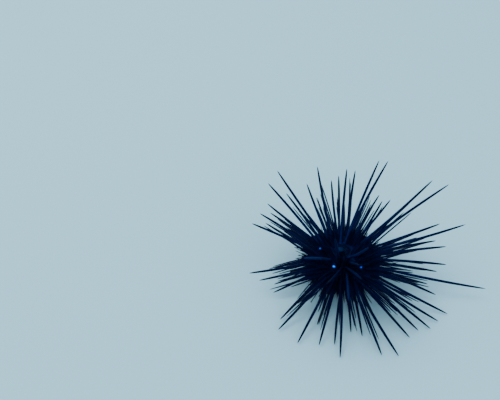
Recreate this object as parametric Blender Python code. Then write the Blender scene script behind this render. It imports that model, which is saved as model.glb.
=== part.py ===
"""A long-spined sea urchin, life size, standing on its short mouth-side spines.

X runs to the right, Y away from the viewer and Z up, in metres. The shell is one rounded body, parted by
thin meridian cuts into five wide and five narrow sectors, each with the spines that grow from it. A disc with
the vent closes it on top. The mouth skin, with gills, feet and five teeth, closes it below.
"""

import math
import random

import bmesh
import bpy
import numpy as np
from mathutils import Matrix, Vector

MM = 0.001

# The shell
SHELL_RADIUS = 31 * MM
CROWN_RISE = 17 * MM  # from the widest line up to the top
MOUTH_DROP = 13 * MM  # from the widest line down to the mouth side
WAIST_HEIGHT = 27 * MM  # the widest line over the floor
SQUARENESS = 2.3  # 2 is an ellipse; more fills out the shoulders
LOBE_SHARE = 0.018  # how far the wide sectors bulge past the narrow ones
CUT = 0.3 * MM  # the gap that parts neighbouring nodes
SECTORS = 5
FIRST_WIDE_BEARING = math.radians(236)  # of a wide sector's middle, from +X towards +Y
WIDE_HALF = math.radians(22.5)
NARROW_HALF = math.radians(36) - WIDE_HALF
SHELL_ROWS = 11  # facets from top to mouth
WIDE_FACETS = 5
NARROW_FACETS = 3

# The disc on top, the mouth skin below, and what they carry
DISC_RADIUS = 6.2 * MM
DISC_BULGE = 0.7 * MM
PLATE_RISE = 0.5 * MM
VENT_RADIUS = 3 * MM
VENT_HEIGHT = 7 * MM
VENT_LEAN = 3.2 * MM  # how far the vent's end leans out
VENT_BEARING = math.radians(215)
MOUTH_RADIUS = 9.5 * MM
MOUTH_BULGE = 1.2 * MM
THROAT_RADIUS = 3.4 * MM
THROAT_DEPTH = 5 * MM
TOOTH_SHOWS = 1.6 * MM
GILL_LENGTH = 2.6 * MM
GILL_LOBES = 3
GILL_TURN = 0.15
FOOT_LENGTH = 3 * MM
FOOT_TURN = 0.16
TURN_FACETS = 20
VENT_FACETS = 10
SMOOTH_UNDER = math.radians(35)

# The rows of long spines, as latitudes on the shell: 90 degrees is the top, 0 the widest line
TOP_ROW = math.radians(72)
LAST_ROW = math.radians(-64)
ROWS = 12
# Columns of long spines: place across the half sector, first row, last row, share of the full length
WIDE_COLUMNS = ((0.50, 0, 11, 1.0), (0.16, 4, 8, 0.9), (0.80, 3.5, 8.5, 0.85))
NARROW_COLUMNS = ((0.42, 1.6, 10, 0.75),)
FULL_LENGTH = 74 * MM
# Share of the full length by latitude in degrees: short round the disc, longest over the shoulder
LENGTH_LATITUDES = (-64, -40, -20, 0, 25, 50, 72)
LENGTH_SHARES = (0.25, 0.4, 0.75, 1.0, 1.0, 0.85, 0.5)
LENGTH_SPREAD = 0.16
WALKING_LATITUDE = math.radians(-36)  # spines rooted under this stand on the floor
THICK_SPINE = 0.95 * MM  # radius at the root of a spine of full length
THIN_SPINE = 0.55 * MM
MIDDLE_SHARE = 0.55  # where the taper changes
MIDDLE_THICKNESS = 0.66
WALKING_FOOT_THICKNESS = 0.8
SPINE_SIDES = 5
ROOT_DEPTH = 2.2 * MM
FLOOR_CLEARANCE = 2 * MM
SPINE_GAP = 0.55 * MM
RELAX_ROUNDS = 80

# Five bare spots, one high on each wide sector. Three of them are kept in the viewer's sight.
SPOT_LATITUDE = math.radians(40)
SPOT_RADIUS = 1.6 * MM
SPOTS_IN_SIGHT = (0, 1, 4)
SPOT_SIGHT_LENGTH = 110 * MM

# The pose: long spines lean together in bundles. They are described as a viewer in front and above sees them.
# Each has the bearings of its first and last spine round the body, from the right and anticlockwise, and how
# far from the middle of the body each of its leading spines reaches, in millimetres.
SIGHT_ELEVATION = math.radians(48)
SIGHT_DISTANCE = 800 * MM
BUNDLES = {
    "right": (8, 21, (106, 97, 130, 106)),
    "right_raised": (36, 42, (134, 124)),
    "upper_right": (52, 70, (80, 74, 78, 114, 111)),
    "top": (82, 98, (95, 96, 89, 85)),
    "top_left": (105, 115, (102, 89)),
    "upper_left": (126, 134, (117, 92, 113)),
    "left_raised": (143, 158, (99, 91, 100, 90, 103)),
    "left": (188, 205, (99, 90, 76, 80)),
    "lower_left": (223, 227, (90, 99)),
    "bottom_left": (242, 254, (98, 72, 91)),
    "bottom": (264, 268, (87, 100)),
    "bottom_right": (276, 300, (74, 80, 104, 112)),
    "lower_right": (311, 333, (103, 104, 112, 114, 118)),
    "right_lowered": (340, 358, (100, 89, 146, 96, 105)),
}
BUNDLE_EDGE = math.radians(3)
FOLLOWER_REACHES = (0.62, 0.96)  # the other spines of a bundle, against its leading ones
GAP_REACH = 0.7  # the spines that stand between two bundles, against those
GATHER_TURNS = 3
# Spines that point towards the viewer: bearing and seen reach, and how near to the viewer their tips come
FACING_SPINES = ((177, 41), (110, 24), (27, 30), (345, 17), (315, 27), (278, 42), (235, 30))
FACING_DEPTH = 82 * MM

# Short spines fill the skin between the long ones
SHORT_COUNT = 430
SHORT_LENGTHS = (11 * MM, 19 * MM)
SHORT_RADIUS = 0.5 * MM
SHORT_SIDES = 4
SHORT_SPACING = 2.3 * MM
BORDER_MARGIN = 1.9 * MM
SEED = 7

BLACK_SPINE = (0.006, 0.007, 0.014)
DARK_SKIN = (0.012, 0.010, 0.022)
VENT_GREY = (0.045, 0.06, 0.085)
TOOTH_WHITE = (0.75, 0.74, 0.68)


def clear_scene():
    for thing in list(bpy.data.objects):
        bpy.data.objects.remove(thing)


def material(name, colour, roughness, metallic=0.0):
    made = bpy.data.materials.new(name)
    made.use_nodes = True
    shader = made.node_tree.nodes["Principled BSDF"]
    shader.inputs["Base Color"].default_value = (*colour, 1)
    shader.inputs["Roughness"].default_value = roughness
    shader.inputs["Metallic"].default_value = metallic
    return made


def object_from(name, mesh, finish=None):
    thing = bpy.data.objects.new(name, mesh)
    bpy.context.collection.objects.link(thing)
    if finish:
        mesh.materials.append(finish)
    return thing


def mesh_from(bm, name):
    bmesh.ops.recalc_face_normals(bm, faces=bm.faces)
    mesh = bpy.data.meshes.new(name)
    bm.to_mesh(mesh)
    bm.free()
    return mesh


def lobed(azimuth):
    """The five-fold bulge of the shell at a bearing."""
    return 1 + LOBE_SHARE * math.cos(SECTORS * (azimuth - FIRST_WIDE_BEARING))


def shell_point(azimuth, latitude):
    """A point on the shell's outside, with the shell's axis at X = Y = 0."""
    power = 2 / SQUARENESS
    radius = SHELL_RADIUS * lobed(azimuth) * math.cos(latitude) ** power
    rise = CROWN_RISE if latitude > 0 else -MOUTH_DROP
    height = WAIST_HEIGHT + rise * abs(math.sin(latitude)) ** power
    return Vector((radius * math.cos(azimuth), radius * math.sin(azimuth), height))


def shell_normal(azimuth, latitude):
    step = 0.01
    east = shell_point(azimuth + step, latitude) - shell_point(azimuth - step, latitude)
    north = shell_point(azimuth, latitude + step) - shell_point(azimuth, latitude - step)
    return east.cross(north).normalized()


def latitude_at(radius, sign):
    """The latitude at which the shell is this far from its axis, above (1) or below (-1) the waist."""
    return sign * math.acos((radius / SHELL_RADIUS) ** (SQUARENESS / 2))


# The layout of the spines


class Spine:
    """One spine: where it leaves the skin, its tip, its radius there, and the sector that it grows from.

    Its reach share is how far it may be seen to reach, against the spines that lead its bundle.
    """

    def __init__(self, sector, root, tip, radius, reach_share=1, walks=False):
        self.sector = sector
        self.root = root
        self.tip = tip
        self.radius = radius
        self.reach_share = reach_share
        self.walks = walks
        self.leads = False

    @property
    def axis(self):
        return (self.tip - self.root).normalized()

    @property
    def length(self):
        return (self.tip - self.root).length


def shell_middle():
    return Vector((0, 0, WAIST_HEIGHT + (CROWN_RISE - MOUTH_DROP) / 2))


def sight_axes():
    """Right, up and towards the viewer, for one who looks down at the body at the sight elevation."""
    sine, cosine = math.sin(SIGHT_ELEVATION), math.cos(SIGHT_ELEVATION)
    return Vector((1, 0, 0)), Vector((0, sine, cosine)), Vector((0, -cosine, sine))


def seen(point):
    """The bearing and the reach from the middle of the body at which the viewer sees a point."""
    offset = point - shell_middle()
    across, above, depth = [offset.dot(axis) for axis in sight_axes()]
    return math.atan2(above, across) % math.tau, math.hypot(across, above) / (1 - depth / SIGHT_DISTANCE)


def sighted_point(bearing, reach, depth):
    """The point seen at this bearing and reach, and this much nearer to the viewer than the middle."""
    right, up, near = sight_axes()
    across = (right * math.cos(bearing) + up * math.sin(bearing)) * reach
    return shell_middle() + across * (1 - depth / SIGHT_DISTANCE) + near * depth


def spine_radius(length):
    return THIN_SPINE + (THICK_SPINE - THIN_SPINE) * min(length / FULL_LENGTH, 1)


def sector_places():
    """(name, middle bearing, half width, columns) of each of the ten sectors."""
    for index in range(SECTORS):
        middle = FIRST_WIDE_BEARING + index * math.tau / SECTORS
        yield f"wide_sector_{index + 1}", middle, WIDE_HALF, WIDE_COLUMNS
        yield f"narrow_sector_{index + 1}", middle + WIDE_HALF + NARROW_HALF, NARROW_HALF, NARROW_COLUMNS


def natural_spine(sector, azimuth, latitude, share, rng):
    """A long spine as it stands at ease, between the skin's normal and the line from the body's middle."""
    root = shell_point(azimuth, latitude)
    outward = (root - shell_middle()).normalized()
    axis = (shell_normal(azimuth, latitude) * 0.55 + outward * 0.45).normalized()
    degrees = math.degrees(latitude)
    length = FULL_LENGTH * share * float(np.interp(degrees, LENGTH_LATITUDES, LENGTH_SHARES))
    length *= rng.uniform(1 - LENGTH_SPREAD, 1 + LENGTH_SPREAD / 2)
    reach_share = rng.uniform(*FOLLOWER_REACHES)
    if latitude < WALKING_LATITUDE:
        tip = root + axis * (root.z / -axis.z)
        return Spine(sector, root, tip, spine_radius(FULL_LENGTH / 2), walks=True)
    return Spine(sector, root, root + axis * length, spine_radius(length), reach_share)


def long_spines(rng):
    spines = []
    for name, middle, half, columns in sector_places():
        for place, first, last, share in columns:
            for side in (-1, 1):
                count = round(last - first) + 1
                for step in range(count):
                    row = first + step + (0.25 * side if 0 < step < count - 1 else 0)
                    latitude = TOP_ROW + (LAST_ROW - TOP_ROW) * row / (ROWS - 1)
                    azimuth = middle + side * place * half
                    spines.append(natural_spine(name, azimuth, latitude, share, rng))
    return spines


def bundle_cells():
    """(start, end, first, last, mean reach) of each bundle: the bearings it gathers and those it fills."""
    rows = [(math.radians(a), math.radians(b), sum(r) / len(r) * MM) for a, b, r in BUNDLES.values()]
    for index, (first, last, reach) in enumerate(rows):
        before = rows[index - 1][1] - (math.tau if index == 0 else 0)
        after = rows[(index + 1) % len(rows)][0] + (math.tau if index == len(rows) - 1 else 0)
        yield (before + first) / 2, (last + after) / 2, first, last, reach


def cell_at(bearing):
    """The bundle's cell that holds a bearing, and the bearing counted on from the cell's start."""
    for cell in bundle_cells():
        turned = cell[0] + (bearing - cell[0]) % math.tau
        if turned <= cell[1]:
            return cell, turned


def gather(spine):
    """Turns a spine about the line of sight until its tip lies in its bundle."""
    (start, end, first, last, _), turned = cell_at(seen(spine.tip)[0])
    wanted = first + (turned - start) / (end - start) * (last - first)
    for _ in range(GATHER_TURNS):
        turn = Matrix.Rotation(wanted - seen(spine.tip)[0], 3, sight_axes()[2])
        spine.tip = spine.root + turn @ (spine.tip - spine.root)


def shorten(spine):
    """Keeps a spine within the reach of its bundle, or of the gap that it stands in."""
    bearing, reach = seen(spine.tip)
    (_, _, first, last, leading), turned = cell_at(bearing)
    inside = first - BUNDLE_EDGE <= turned <= last + BUNDLE_EDGE
    most = leading * spine.reach_share * (1 if inside else GAP_REACH)
    if reach > most:
        _, start = seen(spine.root)
        spine.tip = spine.root.lerp(spine.tip, (most - start) / (reach - start))


def leading_tips():
    """The tip of each leading spine, across the line of sight, or nearer where the floor needs it."""
    for first, last, reaches in BUNDLES.values():
        for place, reach in enumerate(reaches):
            bearing = math.radians(first + (last - first) * place / (len(reaches) - 1))
            level = sighted_point(bearing, reach * MM, 0)
            rise = sighted_point(bearing, reach * MM, MM).z - level.z
            yield sighted_point(bearing, reach * MM, max(0, (FLOOR_CLEARANCE - level.z) / rise * MM))
    for bearing, reach in FACING_SPINES:
        yield sighted_point(math.radians(bearing), reach * MM, FACING_DEPTH)


def lead_bundles(spines):
    """Gives each leading tip to the nearest free long spine that faces it."""
    middle = shell_middle()
    for tip in leading_tips():
        aim = (tip - middle).normalized()
        free = [s for s in spines if not s.leads and not s.walks]
        best = min(free, key=lambda s: (s.root - middle).normalized().angle(aim))
        best.tip = tip
        best.leads = True
        best.radius = spine_radius(best.length)


def keep_off_floor(spine):
    """Lifts a tip that would reach the floor, at the same length."""
    if spine.walks or spine.tip.z >= FLOOR_CLEARANCE:
        return
    drop = FLOOR_CLEARANCE - spine.root.z
    flat = (spine.tip - spine.root) * Vector((1, 1, 0))
    run = math.sqrt(max(spine.length**2 - drop**2, 0))
    spine.tip = spine.root + flat.normalized() * run + Vector((0, 0, drop))


def nearest_points(roots, runs, others, other_runs):
    """Shares along two sets of segments at which each pair is nearest, and the vector between them there."""
    between = roots - others
    a = (runs * runs).sum(1)
    e = (other_runs * other_runs).sum(1)
    b = (runs * other_runs).sum(1)
    c = (runs * between).sum(1)
    f = (other_runs * between).sum(1)
    s = np.clip((b * f - c * e) / np.maximum(a * e - b * b, 1e-18), 0, 1)
    t = np.clip((b * s + f) / e, 0, 1)
    s = np.clip((b * t - c) / a, 0, 1)
    return s, t, roots + runs * s[:, None] - others - other_runs * t[:, None]


def thickness(radii, shares):
    return radii * (1 - (1 - MIDDLE_THICKNESS) * shares / MIDDLE_SHARE).clip(0)


def room_short(spines, first, second):
    """How far each pair of spines is from having its gap, with the shares and the line between them."""
    roots = np.array([s.root for s in spines])
    tips = np.array([s.tip for s in spines])
    radii = np.array([s.radius for s in spines])
    runs = tips - roots
    s, t, line = nearest_points(roots[first], runs[first], roots[second], runs[second])
    apart = np.linalg.norm(line, axis=1)
    wanted = thickness(radii[first], s) + thickness(radii[second], t) + SPINE_GAP
    return wanted - apart, s, t, line / np.maximum(apart, 1e-9)[:, None]


def spot_places():
    """The middle of each bare spot, and whether it is kept in sight."""
    for index in range(SECTORS):
        azimuth = FIRST_WIDE_BEARING + index * math.tau / SECTORS
        yield shell_point(azimuth, SPOT_LATITUDE), index in SPOTS_IN_SIGHT


def sight_lines():
    """The viewer's lines of sight to the spots, as spines that the real ones keep clear of."""
    run = sight_axes()[2] * SPOT_SIGHT_LENGTH
    spots = [spot for spot, in_sight in spot_places() if in_sight]
    return [Spine("", spot, spot + run, SPOT_RADIUS) for spot in spots]


def spread_apart(spines, fixed_count):
    """Pushes tips apart until no two spines are nearer than their gap. The first fixed_count stay put."""
    first, second = np.triu_indices(len(spines), 1)
    keep = second >= fixed_count
    first, second = first[keep], second[keep]
    stiff = [s.walks or i < fixed_count for i, s in enumerate(spines)]
    ease = np.array([0 if held else 0.2 if s.leads else 1 for s, held in zip(spines, stiff)])
    for _ in range(RELAX_ROUNDS):
        short, s, t, line = room_short(spines, first, second)
        near = short > 0
        if not near.any():
            break
        i, j = first[near], second[near]
        total = np.maximum(ease[i] + ease[j], 1e-9)
        push = np.zeros((len(spines), 3))
        amount = (short[near] * 1.1)[:, None] * line[near]
        np.add.at(push, i, amount * (ease[i] / total / np.maximum(s[near], 0.3))[:, None])
        np.add.at(push, j, -amount * (ease[j] / total / np.maximum(t[near], 0.3))[:, None])
        for spine, move in zip(spines, push):
            if move.any():
                length = spine.length
                spine.tip = spine.root + (spine.tip + Vector(move) - spine.root).normalized() * length
                keep_off_floor(spine)
    short, _, _, _ = room_short(spines, first, second)
    crossing = short > SPINE_GAP / 2
    rank = [(held, s.leads, s.length) for s, held in zip(spines, stiff)]
    return without_crossings(spines, rank, zip(first[crossing], second[crossing]))


def without_crossings(spines, rank, pairs):
    """Leaves out the lower ranked one of each pair of spines that still cross."""
    dropped = set()
    for i, j in pairs:
        if i not in dropped and j not in dropped:
            dropped.add(min(i, j, key=lambda n: rank[n]))
    return [s for n, s in enumerate(spines) if n not in dropped]


def border_distance(azimuth, latitude, middle, half):
    """From a place on the shell to the nearer side of its sector."""
    radius = math.hypot(*shell_point(azimuth, latitude).xy)
    return radius * math.sin(half - abs(azimuth - middle))


def short_spines(long_ones, rng):
    """Short spines at random free places of the skin, evenly over its area."""
    places = list(sector_places())
    found = []
    taken = [s.root for s in long_ones]
    spots = [spot for spot, _ in spot_places()]
    top = latitude_at(DISC_RADIUS + 1.5 * BORDER_MARGIN, 1)
    last = latitude_at(MOUTH_RADIUS + 2 * BORDER_MARGIN, -1)
    for _ in range(SHORT_COUNT * 60):
        if len(found) == SHORT_COUNT:
            break
        name, middle, half, _ = places[rng.randrange(len(places))]
        azimuth = middle + rng.uniform(-half, half)
        latitude = math.asin(rng.uniform(math.sin(last), math.sin(top)))
        if rng.random() > half / WIDE_HALF:
            continue
        if border_distance(azimuth, latitude, middle, half) < BORDER_MARGIN:
            continue
        root = shell_point(azimuth, latitude)
        if min((root - other).length for other in taken) < SHORT_SPACING:
            continue
        if min((root - spot).length for spot in spots) < 2 * SPOT_RADIUS:
            continue
        taken.append(root)
        length = rng.uniform(*SHORT_LENGTHS)
        axis = (shell_normal(azimuth, latitude) + (root - shell_middle()).normalized()).normalized()
        if axis.z < 0:
            length = min(length, (root.z - FLOOR_CLEARANCE) / -axis.z)
        found.append(Spine(name, root, root + axis * length, SHORT_RADIUS))
    return found


def spine_layout():
    """Every spine, with the shell's axis at X = Y = 0."""
    rng = random.Random(SEED)
    spines = long_spines(rng)
    lead_bundles(spines)
    followers = [s for s in spines if not s.leads and not s.walks]
    for spine in followers:
        gather(spine)
        shorten(spine)
        keep_off_floor(spine)
    lines = sight_lines()
    spines = spread_apart(lines + spines, len(lines))
    for spine in followers:
        shorten(spine)
    spines = spread_apart(spines + short_spines(spines[len(lines):], rng), len(spines))
    return spines[len(lines):]


def footprint_middle(spines):
    """The middle of the floor that the spread of the tips covers."""
    across = [s.tip.x for s in spines]
    along = [s.tip.y for s in spines]
    return Vector(((min(across) + max(across)) / 2, (min(along) + max(along)) / 2, 0))


# Shapes


def sector_mesh(name, middle, half, facets):
    """One sector of the shell, solid in to the disc above and to the mouth skin below."""
    top = latitude_at(DISC_RADIUS + CUT, 1)
    last = latitude_at(MOUTH_RADIUS + CUT, -1)
    inner_end = Vector((0, 0, WAIST_HEIGHT - CUT))
    bm = bmesh.new()
    columns = []
    for facet in range(facets + 1):
        azimuth = middle + half * (2 * facet / facets - 1)
        latitudes = [top + (last - top) * row / SHELL_ROWS for row in range(SHELL_ROWS + 1)]
        outline = [shell_point(azimuth, latitude) for latitude in latitudes]
        ray = Vector((math.cos(azimuth), math.sin(azimuth), 0))
        outline.append(ray * (MOUTH_RADIUS + CUT) + inner_end)
        outline.append(ray * (DISC_RADIUS + CUT) + inner_end)
        columns.append([bm.verts.new(point) for point in outline])
    for left, right in zip(columns, columns[1:]):
        for row in range(len(left)):
            after = (row + 1) % len(left)
            bm.faces.new((left[row], right[row], right[after], left[after]))
    bm.faces.new(columns[0])
    bm.faces.new(reversed(columns[-1]))
    for column, side in ((columns[0], 1), (columns[-1], -1)):
        azimuth = middle - side * half
        across = Vector((-math.sin(azimuth), math.cos(azimuth), 0)) * side
        for vert in column:
            vert.co += across * CUT / 2
    return mesh_from(bm, name)


def ring_about(point, axis, radius, sides):
    """The corners of a regular ring across an axis."""
    across = axis.orthogonal().normalized()
    over = axis.cross(across)
    turns = [math.tau * k / sides for k in range(sides)]
    return [point + (across * math.cos(a) + over * math.sin(a)) * radius for a in turns]


def taper_mesh(name, rings, apex=None):
    """A closed body through rings of equal count, ending in a point or in the last ring."""
    bm = bmesh.new()
    loops = [[bm.verts.new(point) for point in ring] for ring in rings]
    for low, high in zip(loops, loops[1:]):
        for k in range(len(low)):
            after = (k + 1) % len(low)
            bm.faces.new((low[k], low[after], high[after], high[k]))
    bm.faces.new(reversed(loops[0]))
    if apex is None:
        bm.faces.new(loops[-1])
    else:
        tip = bm.verts.new(apex)
        for k in range(len(loops[-1])):
            bm.faces.new((loops[-1][k], loops[-1][(k + 1) % len(loops[-1])], tip))
    return mesh_from(bm, name)


def spine_mesh(spine):
    sunk = spine.root - spine.axis * ROOT_DEPTH
    sides = SHORT_SIDES if spine.radius == SHORT_RADIUS else SPINE_SIDES
    rings = [ring_about(sunk, spine.axis, spine.radius, sides)]
    if spine.walks:
        sole = ring_about(spine.tip, spine.axis, spine.radius * WALKING_FOOT_THICKNESS, sides)
        flat = [point - spine.axis * (point.z / spine.axis.z) for point in sole]
        return taper_mesh("walking_spine", rings + [[Vector((p.x, p.y, 0)) for p in flat]])
    if spine.radius > SHORT_RADIUS:
        middle = spine.root.lerp(spine.tip, MIDDLE_SHARE)
        rings.append(ring_about(middle, spine.axis, spine.radius * MIDDLE_THICKNESS, sides))
    return taper_mesh("spine", rings, spine.tip)


def turned_mesh(name, profile, sides):
    """A solid turned about Z from (radius, height) pairs, bottom to top, with its ends closed."""
    bm = bmesh.new()
    rings = []
    for radius, height in profile:
        turns = [math.tau * k / sides for k in range(sides)]
        rings.append([bm.verts.new((radius * math.cos(a), radius * math.sin(a), height)) for a in turns])
    for low, high in zip(rings, rings[1:]):
        for k in range(sides):
            after = (k + 1) % sides
            bm.faces.new((low[k], low[after], high[after], high[k]))
    bm.faces.new(reversed(rings[0]))
    bm.faces.new(rings[-1])
    return mesh_from(bm, name)


def join_all(base, pieces):
    """Unites closed pieces with the base in one Boolean, and removes them."""
    if not pieces:
        return
    group = bpy.data.collections.new(base.name + "_pieces")
    bpy.context.scene.collection.children.link(group)
    for piece in pieces:
        group.objects.link(piece)
        bpy.context.collection.objects.unlink(piece)
    union = base.modifiers.new("union", "BOOLEAN")
    union.operation = "UNION"
    union.operand_type = "COLLECTION"
    union.collection = group
    union.solver = "EXACT"
    bpy.context.view_layer.update()
    graph = bpy.context.evaluated_depsgraph_get()
    whole = bpy.data.meshes.new_from_object(base.evaluated_get(graph))
    base.modifiers.clear()
    base.data = whole
    for piece in pieces:
        bpy.data.objects.remove(piece)
    bpy.data.collections.remove(group)
    keep_largest(base.data)


def keep_largest(mesh):
    """Leaves only the largest connected surface."""
    bm = bmesh.new()
    bm.from_mesh(mesh)
    waiting = set(bm.verts)
    bodies = []
    while waiting:
        body, edge = set(), [waiting.pop()]
        while edge:
            vert = edge.pop()
            body.add(vert)
            for link in vert.link_edges:
                other = link.other_vert(vert)
                if other in waiting:
                    waiting.remove(other)
                    edge.append(other)
        bodies.append(body)
    largest = max(bodies, key=len)
    bmesh.ops.delete(bm, geom=[v for v in bm.verts if v not in largest], context="VERTS")
    bm.to_mesh(mesh)
    bm.free()


# Nodes


def make_sectors(spines, finish):
    for name, middle, half, _ in sector_places():
        facets = WIDE_FACETS if half == WIDE_HALF else NARROW_FACETS
        sector = object_from(name, sector_mesh(name, middle, half, facets), finish)
        own = [s for s in spines if s.sector == name]
        join_all(sector, [object_from(f"{name}_spine", spine_mesh(s)) for s in own])


def crown_height(radius):
    return shell_point(FIRST_WIDE_BEARING, latitude_at(radius, 1)).z


def mouth_height(radius):
    return shell_point(FIRST_WIDE_BEARING, latitude_at(radius, -1)).z


def bearing_ray(bearing):
    return Vector((math.cos(bearing), math.sin(bearing), 0))


def disc_plate(bearing, half, inner, low, high):
    """One plate of the disc, a wedge from its inner share of the disc's radius to near the disc's edge."""
    corners = ((inner, -0.7), (0.93, -1), (0.93, 1), (inner, 0.7))
    flat = [bearing_ray(bearing + half * side) * DISC_RADIUS * share for share, side in corners]
    rings = [[point + Vector((0, 0, height)) for point in flat] for height in (low, high)]
    return object_from("plate", taper_mesh("plate", rings))


def make_disc(finish):
    """The disc on top, with five large and five small plates round a bare middle, whose height it returns."""
    edge = crown_height(DISC_RADIUS)
    top = edge + DISC_BULGE
    profile = [(DISC_RADIUS, WAIST_HEIGHT), (DISC_RADIUS, edge), (DISC_RADIUS * 0.55, top)]
    disc = object_from("top_disc", turned_mesh("top_disc", profile, TURN_FACETS), finish)
    plates = []
    for index in range(SECTORS):
        bearing = FIRST_WIDE_BEARING + index * math.tau / SECTORS
        low, high = edge - PLATE_RISE, top + PLATE_RISE / 2
        plates.append(disc_plate(bearing, math.radians(22), 0.6, low, high))
        plates.append(disc_plate(bearing + math.pi / SECTORS, math.radians(10), 0.74, low, high))
    join_all(disc, plates)
    return top


def make_vent(base_height, finish):
    """The soft bulb in the middle of the disc, leaning out, with its opening as a dimple."""
    # Radius, height and lean of each ring, as shares of the vent's
    shares = ((0.8, 0, 0), (0.75, 0.3, 0.2), (1, 0.62, 0.55), (0.8, 0.9, 0.85), (0.45, 1, 1), (0.25, 0.87, 1))
    rings = []
    for radius, height, lean in shares:
        centre = bearing_ray(VENT_BEARING) * VENT_LEAN * lean + Vector((0, 0, VENT_HEIGHT * height))
        rings.append(ring_about(centre, Vector((0, 0, 1)), VENT_RADIUS * radius, VENT_FACETS))
    vent = object_from("vent", taper_mesh("vent", rings), finish)
    vent.location.z = base_height + CUT


def make_mouth(finish):
    """The skin round the mouth, open in the middle for the teeth, with gills at its rim and feet inside."""
    rim = mouth_height(MOUTH_RADIUS)
    lips = rim - MOUTH_BULGE
    core = 0.5 * MM
    top = WAIST_HEIGHT - 2 * CUT
    profile = [
        (core, lips + THROAT_DEPTH),
        (THROAT_RADIUS, lips + THROAT_DEPTH),
        (THROAT_RADIUS, lips + MM),
        (THROAT_RADIUS + 0.7 * MM, lips),
        (MOUTH_RADIUS * 0.7, lips + 0.3 * MM),
        (MOUTH_RADIUS, rim),
        (MOUTH_RADIUS, top),
        (core, top),
    ]
    skin = object_from("mouth_skin", turned_mesh("mouth_skin", profile, TURN_FACETS), finish)
    pieces = []
    for index in range(SECTORS):
        wide = FIRST_WIDE_BEARING + index * math.tau / SECTORS
        narrow = wide + math.pi / SECTORS
        for side in (-1, 1):
            pieces += gill_lobes(wide + side * WIDE_HALF, rim)
            pieces.append(mouth_foot(narrow + side * FOOT_TURN, lips))
    join_all(skin, pieces)


def gill_lobes(bearing, rim):
    """One gill: a few soft lobes side by side, which hang from the rim and lean out."""
    lobes = []
    for lobe in range(GILL_LOBES):
        out = bearing_ray(bearing + (lobe - (GILL_LOBES - 1) / 2) * GILL_TURN)
        root = out * (MOUTH_RADIUS - 1.5 * MM) + Vector((0, 0, rim + 0.6 * MM))
        aim = (out * 0.35 - Vector((0, 0, 1))).normalized()
        belly = root + aim * GILL_LENGTH * 0.7
        rings = [ring_about(root, aim, 0.4 * MM, 4), ring_about(belly, aim, 0.55 * MM, 4)]
        lobes.append(object_from("gill", taper_mesh("gill", rings, root + aim * GILL_LENGTH * 1.3)))
    return lobes


def mouth_foot(bearing, lips):
    """A thick tube foot of the mouth skin, which ends in a small pad."""
    out = bearing_ray(bearing)
    root = out * (THROAT_RADIUS + 2 * MM) + Vector((0, 0, lips + MM))
    aim = (out * 0.25 - Vector((0, 0, 1))).normalized()
    sizes = ((0, 0.4 * MM), (0.85, 0.35 * MM), (1, 0.65 * MM), (1.15, 0.6 * MM))
    rings = [ring_about(root + aim * FOOT_LENGTH * share, aim, radius, 5) for share, radius in sizes]
    return object_from("foot", taper_mesh("foot", rings))


def tooth_section(inner, outer, half, height):
    """A diamond across a tooth that lies towards +X, from its inner to its outer edge."""
    middle = (inner + outer) / 2
    return [Vector((x, y, height)) for x, y in ((inner, 0), (middle, half), (outer, 0), (middle, -half))]


def make_teeth(finish):
    """Five teeth that meet at the middle of the mouth."""
    lips = mouth_height(MOUTH_RADIUS) - MOUTH_BULGE
    outer = THROAT_RADIUS - 2 * CUT
    rings = [
        tooth_section(0.6 * MM, outer, 0.85 * MM, lips + THROAT_DEPTH - CUT),
        tooth_section(0.5 * MM, outer - CUT, 0.75 * MM, lips),
    ]
    mesh = taper_mesh("tooth", rings, Vector((0.45 * MM, 0, lips - TOOTH_SHOWS)))
    mesh.materials.append(finish)
    for index in range(SECTORS):
        tooth = object_from(f"tooth_{index + 1}", mesh)
        tooth.rotation_euler.z = FIRST_WIDE_BEARING + index * math.tau / SECTORS


def centre_footprint(middle):
    """Hangs every node from an empty, so that the middle of the whole footprint comes to X = Y = 0."""
    holder = bpy.data.objects.new("shell_axis", None)
    holder.location = -middle
    for node in list(bpy.context.collection.objects):
        node.parent = holder
        node.data.shade_smooth()
        node.data.set_sharp_from_angle(angle=SMOOTH_UNDER)
    bpy.context.collection.objects.link(holder)


def main():
    clear_scene()
    spines = spine_layout()
    make_sectors(spines, material("black_spines", BLACK_SPINE, 0.35))
    skin = material("dark_skin", DARK_SKIN, 0.55)
    disc_top = make_disc(skin)
    make_vent(disc_top, material("vent_skin", VENT_GREY, 0.5))
    make_mouth(skin)
    make_teeth(material("teeth", TOOTH_WHITE, 0.4))
    centre_footprint(footprint_middle(spines))


main()
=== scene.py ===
# %% [markdown]
# A long-spined sea urchin, life size, as a museum shows it. The shell, its spines and the mouth below were
# built as solids first, and this script dresses them. It starts from those solids as a frame that never
# moves, and makes a finer skin, finer and denser spines, soft feet, gills, a vent and teeth in the same
# places. Everything is in metres. X runs to the right, Y away from the viewer and Z up.

# %% Load the frame
import math
import random

import bpy
import numpy as np
from mathutils import Matrix, Vector


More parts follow.
